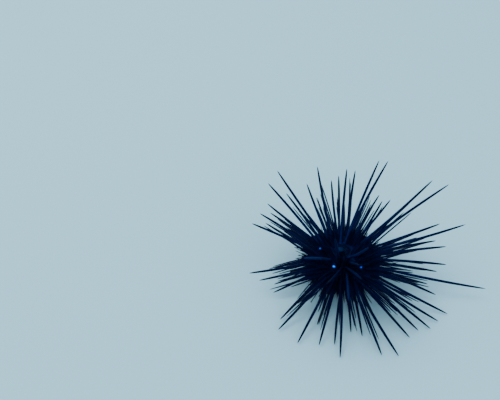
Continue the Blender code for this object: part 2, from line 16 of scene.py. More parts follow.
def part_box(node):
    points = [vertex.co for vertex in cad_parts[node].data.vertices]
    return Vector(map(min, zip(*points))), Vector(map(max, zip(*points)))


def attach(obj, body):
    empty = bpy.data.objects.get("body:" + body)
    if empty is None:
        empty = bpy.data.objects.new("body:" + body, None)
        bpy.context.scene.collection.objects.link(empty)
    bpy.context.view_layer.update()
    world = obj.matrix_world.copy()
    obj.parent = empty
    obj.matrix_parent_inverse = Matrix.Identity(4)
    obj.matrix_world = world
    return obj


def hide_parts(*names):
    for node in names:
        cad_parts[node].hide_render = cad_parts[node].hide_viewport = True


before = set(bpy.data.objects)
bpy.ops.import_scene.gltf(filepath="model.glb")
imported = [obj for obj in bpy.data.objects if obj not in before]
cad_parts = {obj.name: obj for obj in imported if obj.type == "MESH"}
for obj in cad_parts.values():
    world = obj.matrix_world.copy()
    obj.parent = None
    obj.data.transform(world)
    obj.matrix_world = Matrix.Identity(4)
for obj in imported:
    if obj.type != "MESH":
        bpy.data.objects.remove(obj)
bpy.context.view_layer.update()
MM = 0.001
disc_low, disc_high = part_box("top_disc")
AXIS_PLACE = Vector(((disc_low.x + disc_high.x) / 2, (disc_low.y + disc_high.y) / 2, 0))
print("solids:", len(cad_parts), "axis of the shell at", [round(v / MM, 1) for v in AXIS_PLACE], "mm")

# %% [markdown]
# The shell of an urchin is one rounded body with a five-fold plan: five wide sectors, where the largest
# spines stand, and five narrow ones with the rows of feet. A formula gives any point on it from a bearing
# round the axis and a latitude, with 90 degrees at the top. A super-ellipse, whose power is a little over
# 2, fills out the shoulders as on the real shell. The values are those of the solids.

# %% The shape of the shell
SHELL_RADIUS = 31 * MM
CROWN_RISE = 17 * MM
MOUTH_DROP = 13 * MM
WAIST_HEIGHT = 27 * MM
SQUARENESS = 2.3
LOBE_SHARE = 0.018
SECTORS = 5
FIRST_WIDE_BEARING = math.radians(236)
WIDE_HALF = math.radians(22.5)
NARROW_HALF = math.radians(36) - WIDE_HALF
DISC_RADIUS = 6.2 * MM
DISC_BULGE = 0.7 * MM
MOUTH_RADIUS = 9.5 * MM
MOUTH_BULGE = 1.2 * MM
THROAT_RADIUS = 3.4 * MM
THROAT_DEPTH = 5 * MM


def lobed(azimuth):
    return 1 + LOBE_SHARE * math.cos(SECTORS * (azimuth - FIRST_WIDE_BEARING))


def shell_point(azimuth, latitude):
    power = 2 / SQUARENESS
    radius = SHELL_RADIUS * lobed(azimuth) * math.cos(latitude) ** power
    rise = CROWN_RISE if latitude > 0 else -MOUTH_DROP
    height = WAIST_HEIGHT + rise * abs(math.sin(latitude)) ** power
    return Vector((radius * math.cos(azimuth), radius * math.sin(azimuth), height))


def shell_normal(azimuth, latitude):
    step = 0.01
    east = shell_point(azimuth + step, latitude) - shell_point(azimuth - step, latitude)
    north = shell_point(azimuth, latitude + step) - shell_point(azimuth, latitude - step)
    return east.cross(north).normalized()


def latitude_at(radius, sign):
    return sign * math.acos((radius / SHELL_RADIUS) ** (SQUARENESS / 2))


def shell_middle():
    return Vector((0, 0, WAIST_HEIGHT + (CROWN_RISE - MOUTH_DROP) / 2))


MOUTH_RIM = shell_point(FIRST_WIDE_BEARING, latitude_at(MOUTH_RADIUS, -1)).z
DISC_EDGE = shell_point(FIRST_WIDE_BEARING, latitude_at(DISC_RADIUS, 1)).z
print("shell: mouth rim at", round(MOUTH_RIM / MM, 1), "mm, disc edge at", round(DISC_EDGE / MM, 1), "mm")

# %% [markdown]
# The viewer looks down at the animal at 48 degrees from 80 cm away. The animal stands right of the middle
# of the picture and low in it, so the camera doesn't point straight at it. It starts out aimed at the
# body's middle, and the smallest turn that brings that point to its place in the picture is added, so that
# no lens shift is needed.

# %% The camera
SIGHT_ELEVATION = math.radians(48)
SIGHT_DISTANCE = 800 * MM
PICTURE = (500, 400)
BODY_PIXEL = (343, 260.5)
MM_PER_PIXEL = 1.05
SENSOR_WIDTH = 36
focal_pixels = SIGHT_DISTANCE / (MM_PER_PIXEL * MM)


def sight_axes():
    """Right, up and towards the viewer."""
    sine, cosine = math.sin(SIGHT_ELEVATION), math.cos(SIGHT_ELEVATION)
    return Vector((1, 0, 0)), Vector((0, sine, cosine)), Vector((0, -cosine, sine))


def new_object(name, data):
    """A new object in the scene."""
    thing = bpy.data.objects.new(name, data)
    bpy.context.collection.objects.link(thing)
    return thing


def make_camera():
    straight = Matrix(sight_axes()).transposed().to_quaternion()
    off_centre = Vector((BODY_PIXEL[0] - PICTURE[0] / 2, PICTURE[1] / 2 - BODY_PIXEL[1], -focal_pixels))
    lens = bpy.data.cameras.new("camera")
    lens.sensor_width = SENSOR_WIDTH
    lens.lens = focal_pixels / PICTURE[0] * SENSOR_WIDTH
    camera = new_object("camera", lens)
    camera.location = AXIS_PLACE + shell_middle() + sight_axes()[2] * SIGHT_DISTANCE
    camera.rotation_euler = (straight @ off_centre.rotation_difference(Vector((0, 0, -1)))).to_euler()
    bpy.context.scene.camera = camera
    print("camera: lens", round(lens.lens, 1), "mm at", [round(v, 3) for v in camera.location])


make_camera()

# %% [markdown]
# The floor is a large pale plane whose edge stays out of the camera's view. One large soft light stands
# high on the left behind the animal, as the sun does over the reef, and a weaker one fills from the front.
# The sky is a pale, cool white.

# %% Floor and light
FLOOR_COLOUR = (0.38, 0.71, 0.86, 1)
FLOOR_HALF = 6


def store(mesh, name, values):
    """Keeps one number for each vertex of a mesh under a name."""
    attribute = mesh.attributes.new(name, "FLOAT", "POINT")
    attribute.data.foreach_set("value", np.ravel(values).astype(np.float32))


def new_mesh(name, vertices, faces, edges=(), **values):
    """A mesh with its points, and a number at each point for every name that is given."""
    mesh = bpy.data.meshes.new(name)
    mesh.from_pydata([tuple(v) for v in vertices], list(edges), faces)
    for label, numbers in values.items():
        store(mesh, label, numbers)
    return mesh


def ring_faces(rings, sides, low_tip=None, high_tip=None):
    """Faces between rings of points, from the first ring up. An end closes in a cap, or round its tip."""
    pairs = [(k, (k + 1) % sides) for k in range(sides)]
    top = (rings - 1) * sides
    faces = []
    for low in range(0, top, sides):
        faces += [(low + k, low + after, low + sides + after, low + sides + k) for k, after in pairs]
    if low_tip is None:
        faces.append(tuple(reversed(range(sides))))
    else:
        faces += [(after, k, low_tip) for k, after in pairs]
    if high_tip is None:
        faces.append(tuple(range(top, top + sides)))
    else:
        faces += [(top + k, top + after, high_tip) for k, after in pairs]
    return faces


def make_floor():
    corners = [(x * FLOOR_HALF, y * FLOOR_HALF, 0) for x, y in ((-1, -1), (1, -1), (1, 1), (-1, 1))]
    mesh = new_mesh("floor", corners, [(0, 1, 2, 3)])
    floor = new_object("floor", mesh)
    paint = bpy.data.materials.new("pale_floor")
    paint.use_nodes = True
    shader = paint.node_tree.nodes["Principled BSDF"]
    shader.inputs["Base Color"].default_value = FLOOR_COLOUR
    shader.inputs["Roughness"].default_value = 0.9
    mesh.materials.append(paint)


def make_light(name, place, size, power, colour):
    lamp = bpy.data.lights.new(name, "AREA")
    lamp.size = size
    lamp.energy = power
    lamp.color = colour
    light = new_object(name, lamp)
    light.location = place
    light.rotation_euler = (-Vector(place)).to_track_quat("-Z", "Y").to_euler()


def make_sky(colour, strength):
    sky = bpy.data.worlds.new("sky")
    sky.use_nodes = True
    light = sky.node_tree.nodes["Background"]
    light.inputs["Color"].default_value = (*colour, 1)
    light.inputs["Strength"].default_value = strength
    bpy.context.scene.world = sky


make_floor()
make_light("key", (-0.7, 0.6, 1.5), 0.9, 11, (1, 0.98, 0.95))
make_light("fill", (0.9, -1.2, 1.0), 1.2, 5, (0.85, 0.93, 1))
make_sky((0.82, 0.92, 1), 1.2)

# %% [markdown]
# The long spines are laid out as in the solids, by the same functions, values and seed, so that each one
# stands where its solid stands. Rows of spines run from the disc to the mouth on each sector. At ease a
# spine stands between the skin's normal and the line from the middle of the body. The spines near the mouth
# reach the floor and carry the animal.

# %% Rows of spines
TOP_ROW = math.radians(72)
LAST_ROW = math.radians(-64)
ROWS = 12
# Columns: place across the half sector, first row, last row, share of the full length
WIDE_COLUMNS = ((0.50, 0, 11, 1.0), (0.16, 4, 8, 0.9), (0.80, 3.5, 8.5, 0.85))
NARROW_COLUMNS = ((0.42, 1.6, 10, 0.75),)
FULL_LENGTH = 74 * MM
LENGTH_LATITUDES = (-64, -40, -20, 0, 25, 50, 72)
LENGTH_SHARES = (0.25, 0.4, 0.75, 1.0, 1.0, 0.85, 0.5)
LENGTH_SPREAD = 0.16
WALKING_LATITUDE = math.radians(-36)
THICK_SPINE = 0.95 * MM
THIN_SPINE = 0.55 * MM
MIDDLE_SHARE = 0.55
MIDDLE_THICKNESS = 0.66
NORMAL_SHARE = 0.55
OUTWARD_SHARE = 0.45
ROW_STAGGER = 0.25
FOLLOWER_REACHES = (0.62, 0.96)
SEED = 7


class Spine:
    """One spine: where it leaves the skin, its tip, its radius there, and the sector that it grows from."""

    def __init__(self, sector, root, tip, radius, reach_share=1, walks=False):
        self.sector = sector
        self.root = root
        self.tip = tip
        self.radius = radius
        self.reach_share = reach_share
        self.walks = walks
        self.leads = False
        # How much painted highlight the spine's colour gets, 0 for none
        self.light = 0

    @property
    def axis(self):
        return (self.tip - self.root).normalized()

    @property
    def length(self):
        return (self.tip - self.root).length


def spine_radius(length):
    return THIN_SPINE + (THICK_SPINE - THIN_SPINE) * min(length / FULL_LENGTH, 1)


def sector_bearing(index):
    """The bearing of the middle of a wide sector."""
    return FIRST_WIDE_BEARING + index * math.tau / SECTORS


def sector_places():
    """(name, middle bearing, half width, columns) of each of the ten sectors."""
    for index in range(SECTORS):
        middle = sector_bearing(index)
        yield f"wide_sector_{index + 1}", middle, WIDE_HALF, WIDE_COLUMNS
        yield f"narrow_sector_{index + 1}", middle + WIDE_HALF + NARROW_HALF, NARROW_HALF, NARROW_COLUMNS


def natural_spine(sector, azimuth, latitude, share, rng):
    """A long spine as it stands at ease."""
    root = shell_point(azimuth, latitude)
    outward = (root - shell_middle()).normalized()
    normal = shell_normal(azimuth, latitude)
    axis = (normal * NORMAL_SHARE + outward * OUTWARD_SHARE).normalized()
    degrees = math.degrees(latitude)
    length = FULL_LENGTH * share * float(np.interp(degrees, LENGTH_LATITUDES, LENGTH_SHARES))
    length *= rng.uniform(1 - LENGTH_SPREAD, 1 + LENGTH_SPREAD / 2)
    reach_share = rng.uniform(*FOLLOWER_REACHES)
    if latitude < WALKING_LATITUDE:
        tip = root + axis * (root.z / -axis.z)
        return Spine(sector, root, tip, spine_radius(FULL_LENGTH / 2), walks=True)
    return Spine(sector, root, root + axis * length, spine_radius(length), reach_share)


def long_spines(rng):
    spines = []
    for name, middle, half, columns in sector_places():
        for place, first, last, share in columns:
            for side in (-1, 1):
                count = round(last - first) + 1
                for step in range(count):
                    row = first + step + (ROW_STAGGER * side if 0 < step < count - 1 else 0)
                    latitude = TOP_ROW + (LAST_ROW - TOP_ROW) * row / (ROWS - 1)
                    azimuth = middle + side * place * half
                    spines.append(natural_spine(name, azimuth, latitude, share, rng))
    return spines


# %% [markdown]
# The living animal leans its spines together in bundles and leaves gaps between them, and the picture's
# outline is made by these bundles. Each bundle is described as the viewer sees it: the bearings of its
# first and last spine round the body, from the right and anticlockwise, and how far from the middle its
# leading spines reach, in millimetres. The other spines are turned about the line of sight into the nearest
# bundle.

# %% Bundles of spines
FLOOR_CLEARANCE = 2 * MM
BUNDLES = {
    "right": (8, 21, (106, 97, 130, 106)),
    "right_raised": (36, 42, (134, 124)),
    "upper_right": (52, 70, (80, 74, 78, 114, 111)),
    "top": (82, 98, (95, 96, 89, 85)),
    "top_left": (105, 115, (102, 89)),
    "upper_left": (126, 134, (117, 92, 113)),
    "left_raised": (143, 158, (99, 91, 100, 90, 103)),
    "left": (188, 205, (99, 90, 76, 80)),
    "lower_left": (223, 227, (90, 99)),
    "bottom_left": (242, 254, (98, 72, 91)),
    "bottom": (264, 268, (87, 100)),
    "bottom_right": (276, 300, (74, 80, 104, 112)),
    "lower_right": (311, 333, (103, 104, 112, 114, 118)),
    "right_lowered": (340, 358, (100, 89, 146, 96, 105)),
}
BUNDLE_EDGE = math.radians(3)
GAP_REACH = 0.7
GATHER_TURNS = 3
# Bearing and reach of each spine that points at the viewer, and how much painted highlight its colour gets for
# the light it catches
FACING_SPINES = (
    (177, 41, 1),
    (110, 24, 0.35),
    (27, 30, 0.6),
    (345, 17, 0.3),
    (315, 27, 0.35),
    (278, 42, 0.75),
    (235, 30, 0),
)
FACING_DEPTH = 82 * MM


def seen(point):
    """The bearing and the reach from the middle of the body at which the viewer sees a point."""
    offset = point - shell_middle()
    across, above, depth = [offset.dot(axis) for axis in sight_axes()]
    return math.atan2(above, across) % math.tau, math.hypot(across, above) / (1 - depth / SIGHT_DISTANCE)


def sighted_point(bearing, reach, depth):
    """The point seen at this bearing and reach, and this much nearer to the viewer than the middle."""
    right, up, near = sight_axes()
    across = (right * math.cos(bearing) + up * math.sin(bearing)) * reach
    return shell_middle() + across * (1 - depth / SIGHT_DISTANCE) + near * depth


def bundle_cells():
    """(start, end, first, last, mean reach) of each bundle: the bearings it gathers and those it fills."""
    rows = [(math.radians(a), math.radians(b), sum(r) / len(r) * MM) for a, b, r in BUNDLES.values()]
    for index, (first, last, reach) in enumerate(rows):
        before = rows[index - 1][1] - (math.tau if index == 0 else 0)
        after = rows[(index + 1) % len(rows)][0] + (math.tau if index == len(rows) - 1 else 0)
        yield (before + first) / 2, (last + after) / 2, first, last, reach


def cell_at(bearing):
    """The bundle's cell that holds a bearing, and the bearing counted on from the cell's start."""
    for cell in bundle_cells():
        turned = cell[0] + (bearing - cell[0]) % math.tau
        if turned <= cell[1]:
            return cell, turned


def gather(spine):
    """Turns a spine about the line of sight until its tip lies in its bundle."""
    (start, end, first, last, _), turned = cell_at(seen(spine.tip)[0])
    wanted = first + (turned - start) / (end - start) * (last - first)
    for _ in range(GATHER_TURNS):
        turn = Matrix.Rotation(wanted - seen(spine.tip)[0], 3, sight_axes()[2])
        spine.tip = spine.root + turn @ (spine.tip - spine.root)


def shorten(spine):
    """Keeps a spine within the reach of its bundle, or of the gap that it stands in."""
    bearing, reach = seen(spine.tip)
    (_, _, first, last, leading), turned = cell_at(bearing)
    inside = first - BUNDLE_EDGE <= turned <= last + BUNDLE_EDGE
    most = leading * spine.reach_share * (1 if inside else GAP_REACH)
    if reach > most:
        _, start = seen(spine.root)
        spine.tip = spine.root.lerp(spine.tip, (most - start) / (reach - start))


def leading_tips():
    """The tip of each leading spine and its painted highlight. The floor brings some tips nearer to the
    viewer.
    """
    for first, last, reaches in BUNDLES.values():
        for place, reach in enumerate(reaches):
            bearing = math.radians(first + (last - first) * place / (len(reaches) - 1))
            level = sighted_point(bearing, reach * MM, 0)
            rise = sighted_point(bearing, reach * MM, MM).z - level.z
            yield sighted_point(bearing, reach * MM, max(0, (FLOOR_CLEARANCE - level.z) / rise * MM)), 0
    for bearing, reach, light in FACING_SPINES:
        yield sighted_point(math.radians(bearing), reach * MM, FACING_DEPTH), light


def lead_bundles(spines):
    """Gives each leading tip to the nearest free long spine that faces it."""
    middle = shell_middle()
    for tip, light in leading_tips():
        aim = (tip - middle).normalized()
        free = [s for s in spines if not s.leads and not s.walks]
        best = min(free, key=lambda s: (s.root - middle).normalized().angle(aim))
        best.tip = tip
        best.leads = True
        best.light = light
        best.radius = spine_radius(best.length)


def keep_off_floor(spine):
    """Lifts a tip that would reach the floor, at the same length."""
    if spine.walks or spine.tip.z >= FLOOR_CLEARANCE:
        return
    drop = FLOOR_CLEARANCE - spine.root.z
    flat = (spine.tip - spine.root) * Vector((1, 1, 0))
    run = math.sqrt(max(spine.length**2 - drop**2, 0))
    spine.tip = spine.root + flat.normalized() * run + Vector((0, 0, drop))


# %% [markdown]
# Real spines never pass through each other. A short loop finds where each pair of spines comes nearest,
# pushes the tips apart where that is too near, and turns the spines about their roots. The lines of sight
# to three of the five bright spots on the shell take part as spines that don't move, so the others leave
# the spots in view.

# %% Spread the spines apart
SPINE_GAP = 0.55 * MM
RELAX_ROUNDS = 80
LEADER_EASE = 0.2
PUSH_SHARE = 1.1
LEAST_SHARE = 0.3
SPOT_LATITUDE = math.radians(40)
SPOT_RADIUS = 1.6 * MM
SPOTS_IN_SIGHT = (0, 1, 4)
SIGHT_LENGTH = 110 * MM


def nearest_points(roots, runs, others, other_runs):
    """Shares along two sets of segments at which each pair is nearest, and the vector between them there."""
    between = roots - others
    a = (runs * runs).sum(1)
    e = (other_runs * other_runs).sum(1)
    b = (runs * other_runs).sum(1)
    c = (runs * between).sum(1)
    f = (other_runs * between).sum(1)
    s = np.clip((b * f - c * e) / np.maximum(a * e - b * b, 1e-18), 0, 1)
    t = np.clip((b * s + f) / e, 0, 1)
    s = np.clip((b * t - c) / a, 0, 1)
    return s, t, roots + runs * s[:, None] - others - other_runs * t[:, None]


def thickness(radii, shares):
    return radii * (1 - (1 - MIDDLE_THICKNESS) * shares / MIDDLE_SHARE).clip(0)


def room_short(spines, first, second):
    """How far each pair of spines is from having its gap, with the shares and the line between them."""
    roots = np.array([s.root for s in spines])
    tips = np.array([s.tip for s in spines])
    radii = np.array([s.radius for s in spines])
    runs = tips - roots
    s, t, line = nearest_points(roots[first], runs[first], roots[second], runs[second])
    apart = np.linalg.norm(line, axis=1)
    wanted = thickness(radii[first], s) + thickness(radii[second], t) + SPINE_GAP
    return wanted - apart, s, t, line / np.maximum(apart, 1e-9)[:, None]


def sight_line(point, radius=SPOT_RADIUS):
    """The viewer's line of sight to a point, as a spine that the real ones keep clear of."""
    return Spine("", point, point + sight_axes()[2] * SIGHT_LENGTH, radius)


def spread_apart(spines, fixed_count):
    """Pushes tips apart until no two spines are nearer than their gap. The first fixed_count stay put."""
    first, second = np.triu_indices(len(spines), 1)
    keep = second >= fixed_count
    first, second = first[keep], second[keep]
    stiff = [s.walks or i < fixed_count for i, s in enumerate(spines)]
    ease = np.array([0 if held else LEADER_EASE if s.leads else 1 for s, held in zip(spines, stiff)])
    for _ in range(RELAX_ROUNDS):
        short, s, t, line = room_short(spines, first, second)
        near = short > 0
        if not near.any():
            break
        i, j = first[near], second[near]
        total = np.maximum(ease[i] + ease[j], 1e-9)
        push = np.zeros((len(spines), 3))
        amount = (short[near] * PUSH_SHARE)[:, None] * line[near]
        np.add.at(push, i, amount * (ease[i] / total / np.maximum(s[near], LEAST_SHARE))[:, None])
        np.add.at(push, j, -amount * (ease[j] / total / np.maximum(t[near], LEAST_SHARE))[:, None])
        for spine, move in zip(spines, push):
            if move.any():
                length = spine.length
                spine.tip = spine.root + (spine.tip + Vector(move) - spine.root).normalized() * length
                keep_off_floor(spine)
    short, _, _, _ = room_short(spines, first, second)
    crossing = short > SPINE_GAP / 2
    rank = [(held, s.leads, s.length) for s, held in zip(spines, stiff)]
    return without_crossings(spines, rank, zip(first[crossing], second[crossing]))


def without_crossings(spines, rank, pairs):
    """Leaves out the lower ranked one of each pair of spines that still cross."""
    dropped = set()
    for i, j in pairs:
        if i not in dropped and j not in dropped:
            dropped.add(min(i, j, key=lambda n: rank[n]))
    return [s for n, s in enumerate(spines) if n not in dropped]


def solid_spines():
    """The long spines of the solids."""
    spines = long_spines(random.Random(SEED))
    lead_bundles(spines)
    followers = [s for s in spines if not s.leads and not s.walks]
    for spine in followers:
        gather(spine)
        shorten(spine)
        keep_off_floor(spine)
    lines = [sight_line(shell_point(sector_bearing(index), SPOT_LATITUDE)) for index in SPOTS_IN_SIGHT]
    spines = spread_apart(lines + spines, len(lines))
    for spine in followers:
        shorten(spine)
    return spines[len(lines):]


spines = solid_spines()
print("long spines as in the solids:", len(spines))

# %% [markdown]
# The real coat is denser than the solids. More spines, thinner and shorter, are drawn at random places
# among the rows. They stand at ease, only as long as the dark core of the coat is seen to reach, and are
# pushed clear of the spines that are there. In a bundle that is thinner in life than in the solids, some
# spines end in the core too.

# %% Fill the core of the coat
EXTRA_COUNT = 170
# First and last bearing of each field of spines that fills the core's edge, and their number
EDGE_FIELDS = ((0, 25, 5), (95, 150, 8), (159, 185, 15), (186, 222, 6), (262, 360, 20))
EDGE_SHARES = (0.85, 1.02)
EDGE_DEPTHS = (-5 * MM, 42 * MM)
EDGE_LEAN = math.radians(35)
EDGE_LATITUDE = math.radians(64)
EXTRA_LENGTHS = (0.42, 0.75)
# How far from the middle the dark core is seen to reach, in millimetres, every 15 degrees from 7.5
CORE_EDGE = (46, 40, 34, 38, 39, 33, 43, 42, 46, 45, 56, 49, 50, 47, 44, 37, 40, 40, 51, 50, 56, 54, 63, 63)
CORE_SHARES = (0.6, 1.0)
SHORTEST_SHARE = 0.3
# The share of its spines that stays long in each thin bundle
THIN_BUNDLES = {"right_raised": 0.85, "lower_left": 0.95, "bottom_left": 0.8}
EXTRA_LATITUDES = (-30, 66)
EXTRA_RADIUS_SHARE = 0.8
ROOT_SPACING = 2.4 * MM
MOST_TRIES = 200000
VENT_RADIUS = 3.2 * MM
VENT_HEIGHT = 6.2 * MM
VENT_LEAN = 6.6 * MM
VENT_BEARING = math.radians(219)
VENT_BASE = DISC_EDGE + DISC_BULGE
VENT_HEAD_SHARE = 0.7
# Each spot's turn and climb in degrees from the middle of its sector at 40 degrees up, its size and its
# painted brightness
SPOT_PLACES = ((7.75, 11.5, 1.15, 1), (8, -1, 0.85, 0.4), (-3, 2, 0.9, 0.7), (2, -1, 0.9, 0.6),
               (-3.5, 0.5, 1.25, 0.75))


def spot_place(index):
    """Bearing and latitude of a spot as it is drawn."""
    turn, climb = SPOT_PLACES[index][:2]
    return sector_bearing(index) + math.radians(turn), SPOT_LATITUDE + math.radians(climb)


def drawn_sight_lines():
    """The lines of sight to the spots as they are drawn, and to the head of the vent."""
    lines = [sight_line(shell_point(*spot_place(index))) for index in SPOTS_IN_SIGHT]
    lean = Vector((math.cos(VENT_BEARING), math.sin(VENT_BEARING), 0)) * VENT_LEAN
    head = lean + Vector((0, 0, VENT_BASE + VENT_HEIGHT * VENT_HEAD_SHARE))
    return lines + [sight_line(head, VENT_RADIUS)]


def core_edge(bearing):
    """How far from the middle the core is seen to reach at a bearing."""
    step = math.tau / len(CORE_EDGE)
    edges = [(k + 0.5) * step for k in range(len(CORE_EDGE))]
    return float(np.interp(bearing, edges, CORE_EDGE, period=math.tau)) * MM


def sector_at(azimuth):
    """The name of the sector that holds a bearing round the shell."""
    turn = (azimuth - FIRST_WIDE_BEARING + WIDE_HALF) % math.tau
    index, rest = divmod(turn, math.tau / SECTORS)
    return f"{'wide' if rest < 2 * WIDE_HALF else 'narrow'}_sector_{int(index) + 1}"


def has_room(root, taken_roots):
    """Whether a root stands clear of the other roots and of the spots."""
    spots = [shell_point(*spot_place(index)) for index in range(SECTORS)]
    if min((root - spot).length for spot in spots) < 2 * SPOT_RADIUS:
        return False
    return min((root - other).length for other in taken_roots) > ROOT_SPACING


def edge_spines(taken_roots, rng):
    """Spines whose tips stand round the seen edge of the core, with their roots behind them on the shell."""
    fields = [(first, last) for first, last, count in EDGE_FIELDS for _ in range(count)]
    found = []
    for _ in range(MOST_TRIES):
        if len(found) == len(fields):
            break
        bearing = math.radians(rng.uniform(*fields[len(found)]))
        reach = core_edge(bearing) * rng.uniform(*EDGE_SHARES)
        tip = sighted_point(bearing, reach, rng.uniform(*EDGE_DEPTHS))
        way = tip - shell_middle()
        azimuth = math.atan2(way.y, way.x)
        latitude = math.atan2(way.z, math.hypot(way.x, way.y))
        root = shell_point(azimuth, latitude)
        upright = shell_normal(azimuth, latitude).angle(tip - root) < EDGE_LEAN and latitude < EDGE_LATITUDE
        if upright and tip.z > FLOOR_CLEARANCE and has_room(root, taken_roots):
            taken_roots.append(root)
            radius = spine_radius((tip - root).length) * EXTRA_RADIUS_SHARE
            found.append(Spine(sector_at(azimuth), root, tip, radius))
    return found


def extra_spines(taken_roots, rng):
    """Spines at random places among the rows, as they stand at ease."""
    places = list(sector_places())
    found = []
    for _ in range(MOST_TRIES):
        if len(found) == EXTRA_COUNT:
            break
        name, middle, half, _ = places[rng.randrange(len(places))]
        azimuth = middle + rng.uniform(-0.9, 0.9) * half
        latitude = math.radians(rng.uniform(*EXTRA_LATITUDES))
        share = rng.uniform(*EXTRA_LENGTHS)
        root = shell_point(azimuth, latitude)
        if has_room(root, taken_roots):
            taken_roots.append(root)
            spine = natural_spine(name, azimuth, latitude, share, rng)
            spine.radius *= EXTRA_RADIUS_SHARE
            found.append(spine)
    return found


def keep_in_core(spine, share):
    """Shortens a spine that the viewer sees reach further than this share of the core."""
    (bearing, reach), start = seen(spine.tip), seen(spine.root)[1]
    most = core_edge(bearing) * share
    if reach > most:
        spine.tip = spine.root.lerp(spine.tip, max(SHORTEST_SHARE, (most - start) / (reach - start)))


def thin_bundles(spines, rng):
    """Ends some of the following spines of the thin bundles in the core."""
    names = list(BUNDLES)
    starts = [cell[0] for cell in bundle_cells()]
    for spine in spines:
        cell, _ = cell_at(seen(spine.tip)[0])
        stays = THIN_BUNDLES.get(names[starts.index(cell[0])], 1)
        if not spine.leads and not spine.walks and rng.random() > stays:
            keep_in_core(spine, rng.uniform(*CORE_SHARES))


def fill_core(spines):
    rng = random.Random(SEED + 1)
    thin_bundles(spines, rng)
    lines = drawn_sight_lines()
    fixed = lines + spines
    roots = [s.root for s in spines]
    extra = edge_spines(roots, rng)
    for spine in extra_spines(roots, rng):
        keep_in_core(spine, rng.uniform(*CORE_SHARES))
        keep_off_floor(spine)
        extra.append(spine)
    spread = spread_apart(fixed + extra, len(fixed))
    return spines + [s for s in spread if s in extra]


spines = fill_core(spines)
print("long spines in the coat:", len(spines))

# %% [markdown]
# The skin replaces the flesh of all the solids with one closed surface, so that no cut shows. It is a grid:
# its columns are bearings and its rows run from the middle of the disc over the shoulder and the waist to
# the throat. Fine forms are added to the grid as heights along the surface's normal: a dome under each long
# spine, the plates of the disc, the seams between plates, and the wrinkles round the mouth.

# %% Rows and columns of the skin
SKIN_COLUMNS = 400
SKIN_ROWS = 220
DISC_SHARE, SHELL_SHARE, MOUTH_SHARE = 0.11, 0.69, 0.13
DISC_FLAT = 0.55


def skin_base(azimuths, shares):
    """Points of the plain skin at bearings and at shares of the way from the disc's middle to the throat."""
    shell_end = DISC_SHARE + SHELL_SHARE
    mouth_end = shell_end + MOUTH_SHARE
    top, last = latitude_at(DISC_RADIUS, 1), latitude_at(MOUTH_RADIUS, -1)
    lips = MOUTH_RIM - MOUTH_BULGE
    rows = []
    for share in shares:
        if share <= DISC_SHARE:
            out = share / DISC_SHARE
            dome = 1 - np.clip((out - DISC_FLAT) / (1 - DISC_FLAT), 0, 1) ** 2
            rows.append((out * DISC_RADIUS, DISC_EDGE + DISC_BULGE * dome))
        elif share <= shell_end:
            latitude = top + (last - top) * (share - DISC_SHARE) / SHELL_SHARE
            point = shell_point(FIRST_WIDE_BEARING + math.pi / SECTORS / 2, latitude)
            rows.append((math.hypot(point.x, point.y), point.z))
        elif share <= mouth_end:
            radii = (MOUTH_RADIUS, MOUTH_RADIUS * 0.7, THROAT_RADIUS + 0.7 * MM, THROAT_RADIUS)
            heights = (MOUTH_RIM, lips + 0.3 * MM, lips, lips + 0.6 * MM)
            inward = (share - shell_end) / MOUTH_SHARE
            ends = (0, 0.45, 0.85, 1)
            rows.append((np.interp(inward, ends, radii), np.interp(inward, ends, heights)))
        else:
            up = (share - mouth_end) / (1 - mouth_end)
            rows.append((THROAT_RADIUS * (1 - up**6), lips + 0.6 * MM + (THROAT_DEPTH - MM) * up))
    radius, height = np.array(rows).T
    bulge = 1 + LOBE_SHARE * np.cos(SECTORS * (azimuths - FIRST_WIDE_BEARING))
    on_shell = np.clip((radius - DISC_RADIUS) / (4 * MM), 0, 1)
    wide = radius[:, None] * (1 + (bulge[None, :] - 1) * on_shell[:, None])
    x, y = wide * np.cos(azimuths), wide * np.sin(azimuths)
    return np.stack([x, y, np.broadcast_to(height[:, None], x.shape)], axis=2)


azimuths = np.arange(SKIN_COLUMNS) / SKIN_COLUMNS * math.tau
skin_shares = (np.arange(SKIN_ROWS) + 0.5) / SKIN_ROWS
skin_points = skin_base(azimuths, skin_shares)
print("skin grid:", skin_points.shape[0], "rows of", skin_points.shape[1])

# %% [markdown]
# Each form is a number between 0 and 1 over the grid, worked out by a formula. The same numbers serve
# twice: as heights here, and as attributes that the skin's material reads, so colour and form always agree.

# %% Forms on the skin
TUBERCLE_RADIUS = 1.7 * MM
TUBERCLE_HEIGHT = 0.55 * MM
PLATE_ROWS = 24
SEAM_DEPTH = 0.18 * MM
PLATE_HEIGHT = 0.45 * MM
WRINKLE_HEIGHT = 0.28 * MM
WRINKLE_WAVES = 48
# Shares of the disc's radius: the ends of its large plates, their pores, and the small plates between them
PLATE_ENDS = (0.57, 1.02)
PORE_OUT = 0.84
PORE_WIDTH = 0.06
SMALL_PLATE_OUT = 0.93
SMALL_PLATE_HALF = 0.17
# Widths of the seams in radians round the shell
BORDER_SEAM = 0.018
MIDDLE_SEAM = 0.012


def smooth_step(low, high, values):
    share = np.clip((values - low) / (high - low), 0, 1)
    return share * share * (3 - 2 * share)


def turn_from(bearing):
    """The turn of each column from the nearest of five like bearings."""
    step = math.tau / SECTORS
    return (azimuths - bearing + step / 2) % step - step / 2


def tubercles(points, roots):
    """Domes under the spines."""
    flat = points.reshape(-1, 3)
    nearest = np.full(len(flat), 1.0)
    for root in roots:
        nearest = np.minimum(nearest, np.linalg.norm(flat - np.array(root), axis=1))
    dome = np.sqrt(np.clip(1 - (nearest / TUBERCLE_RADIUS) ** 2, 0, 1))
    return dome.reshape(points.shape[:2])


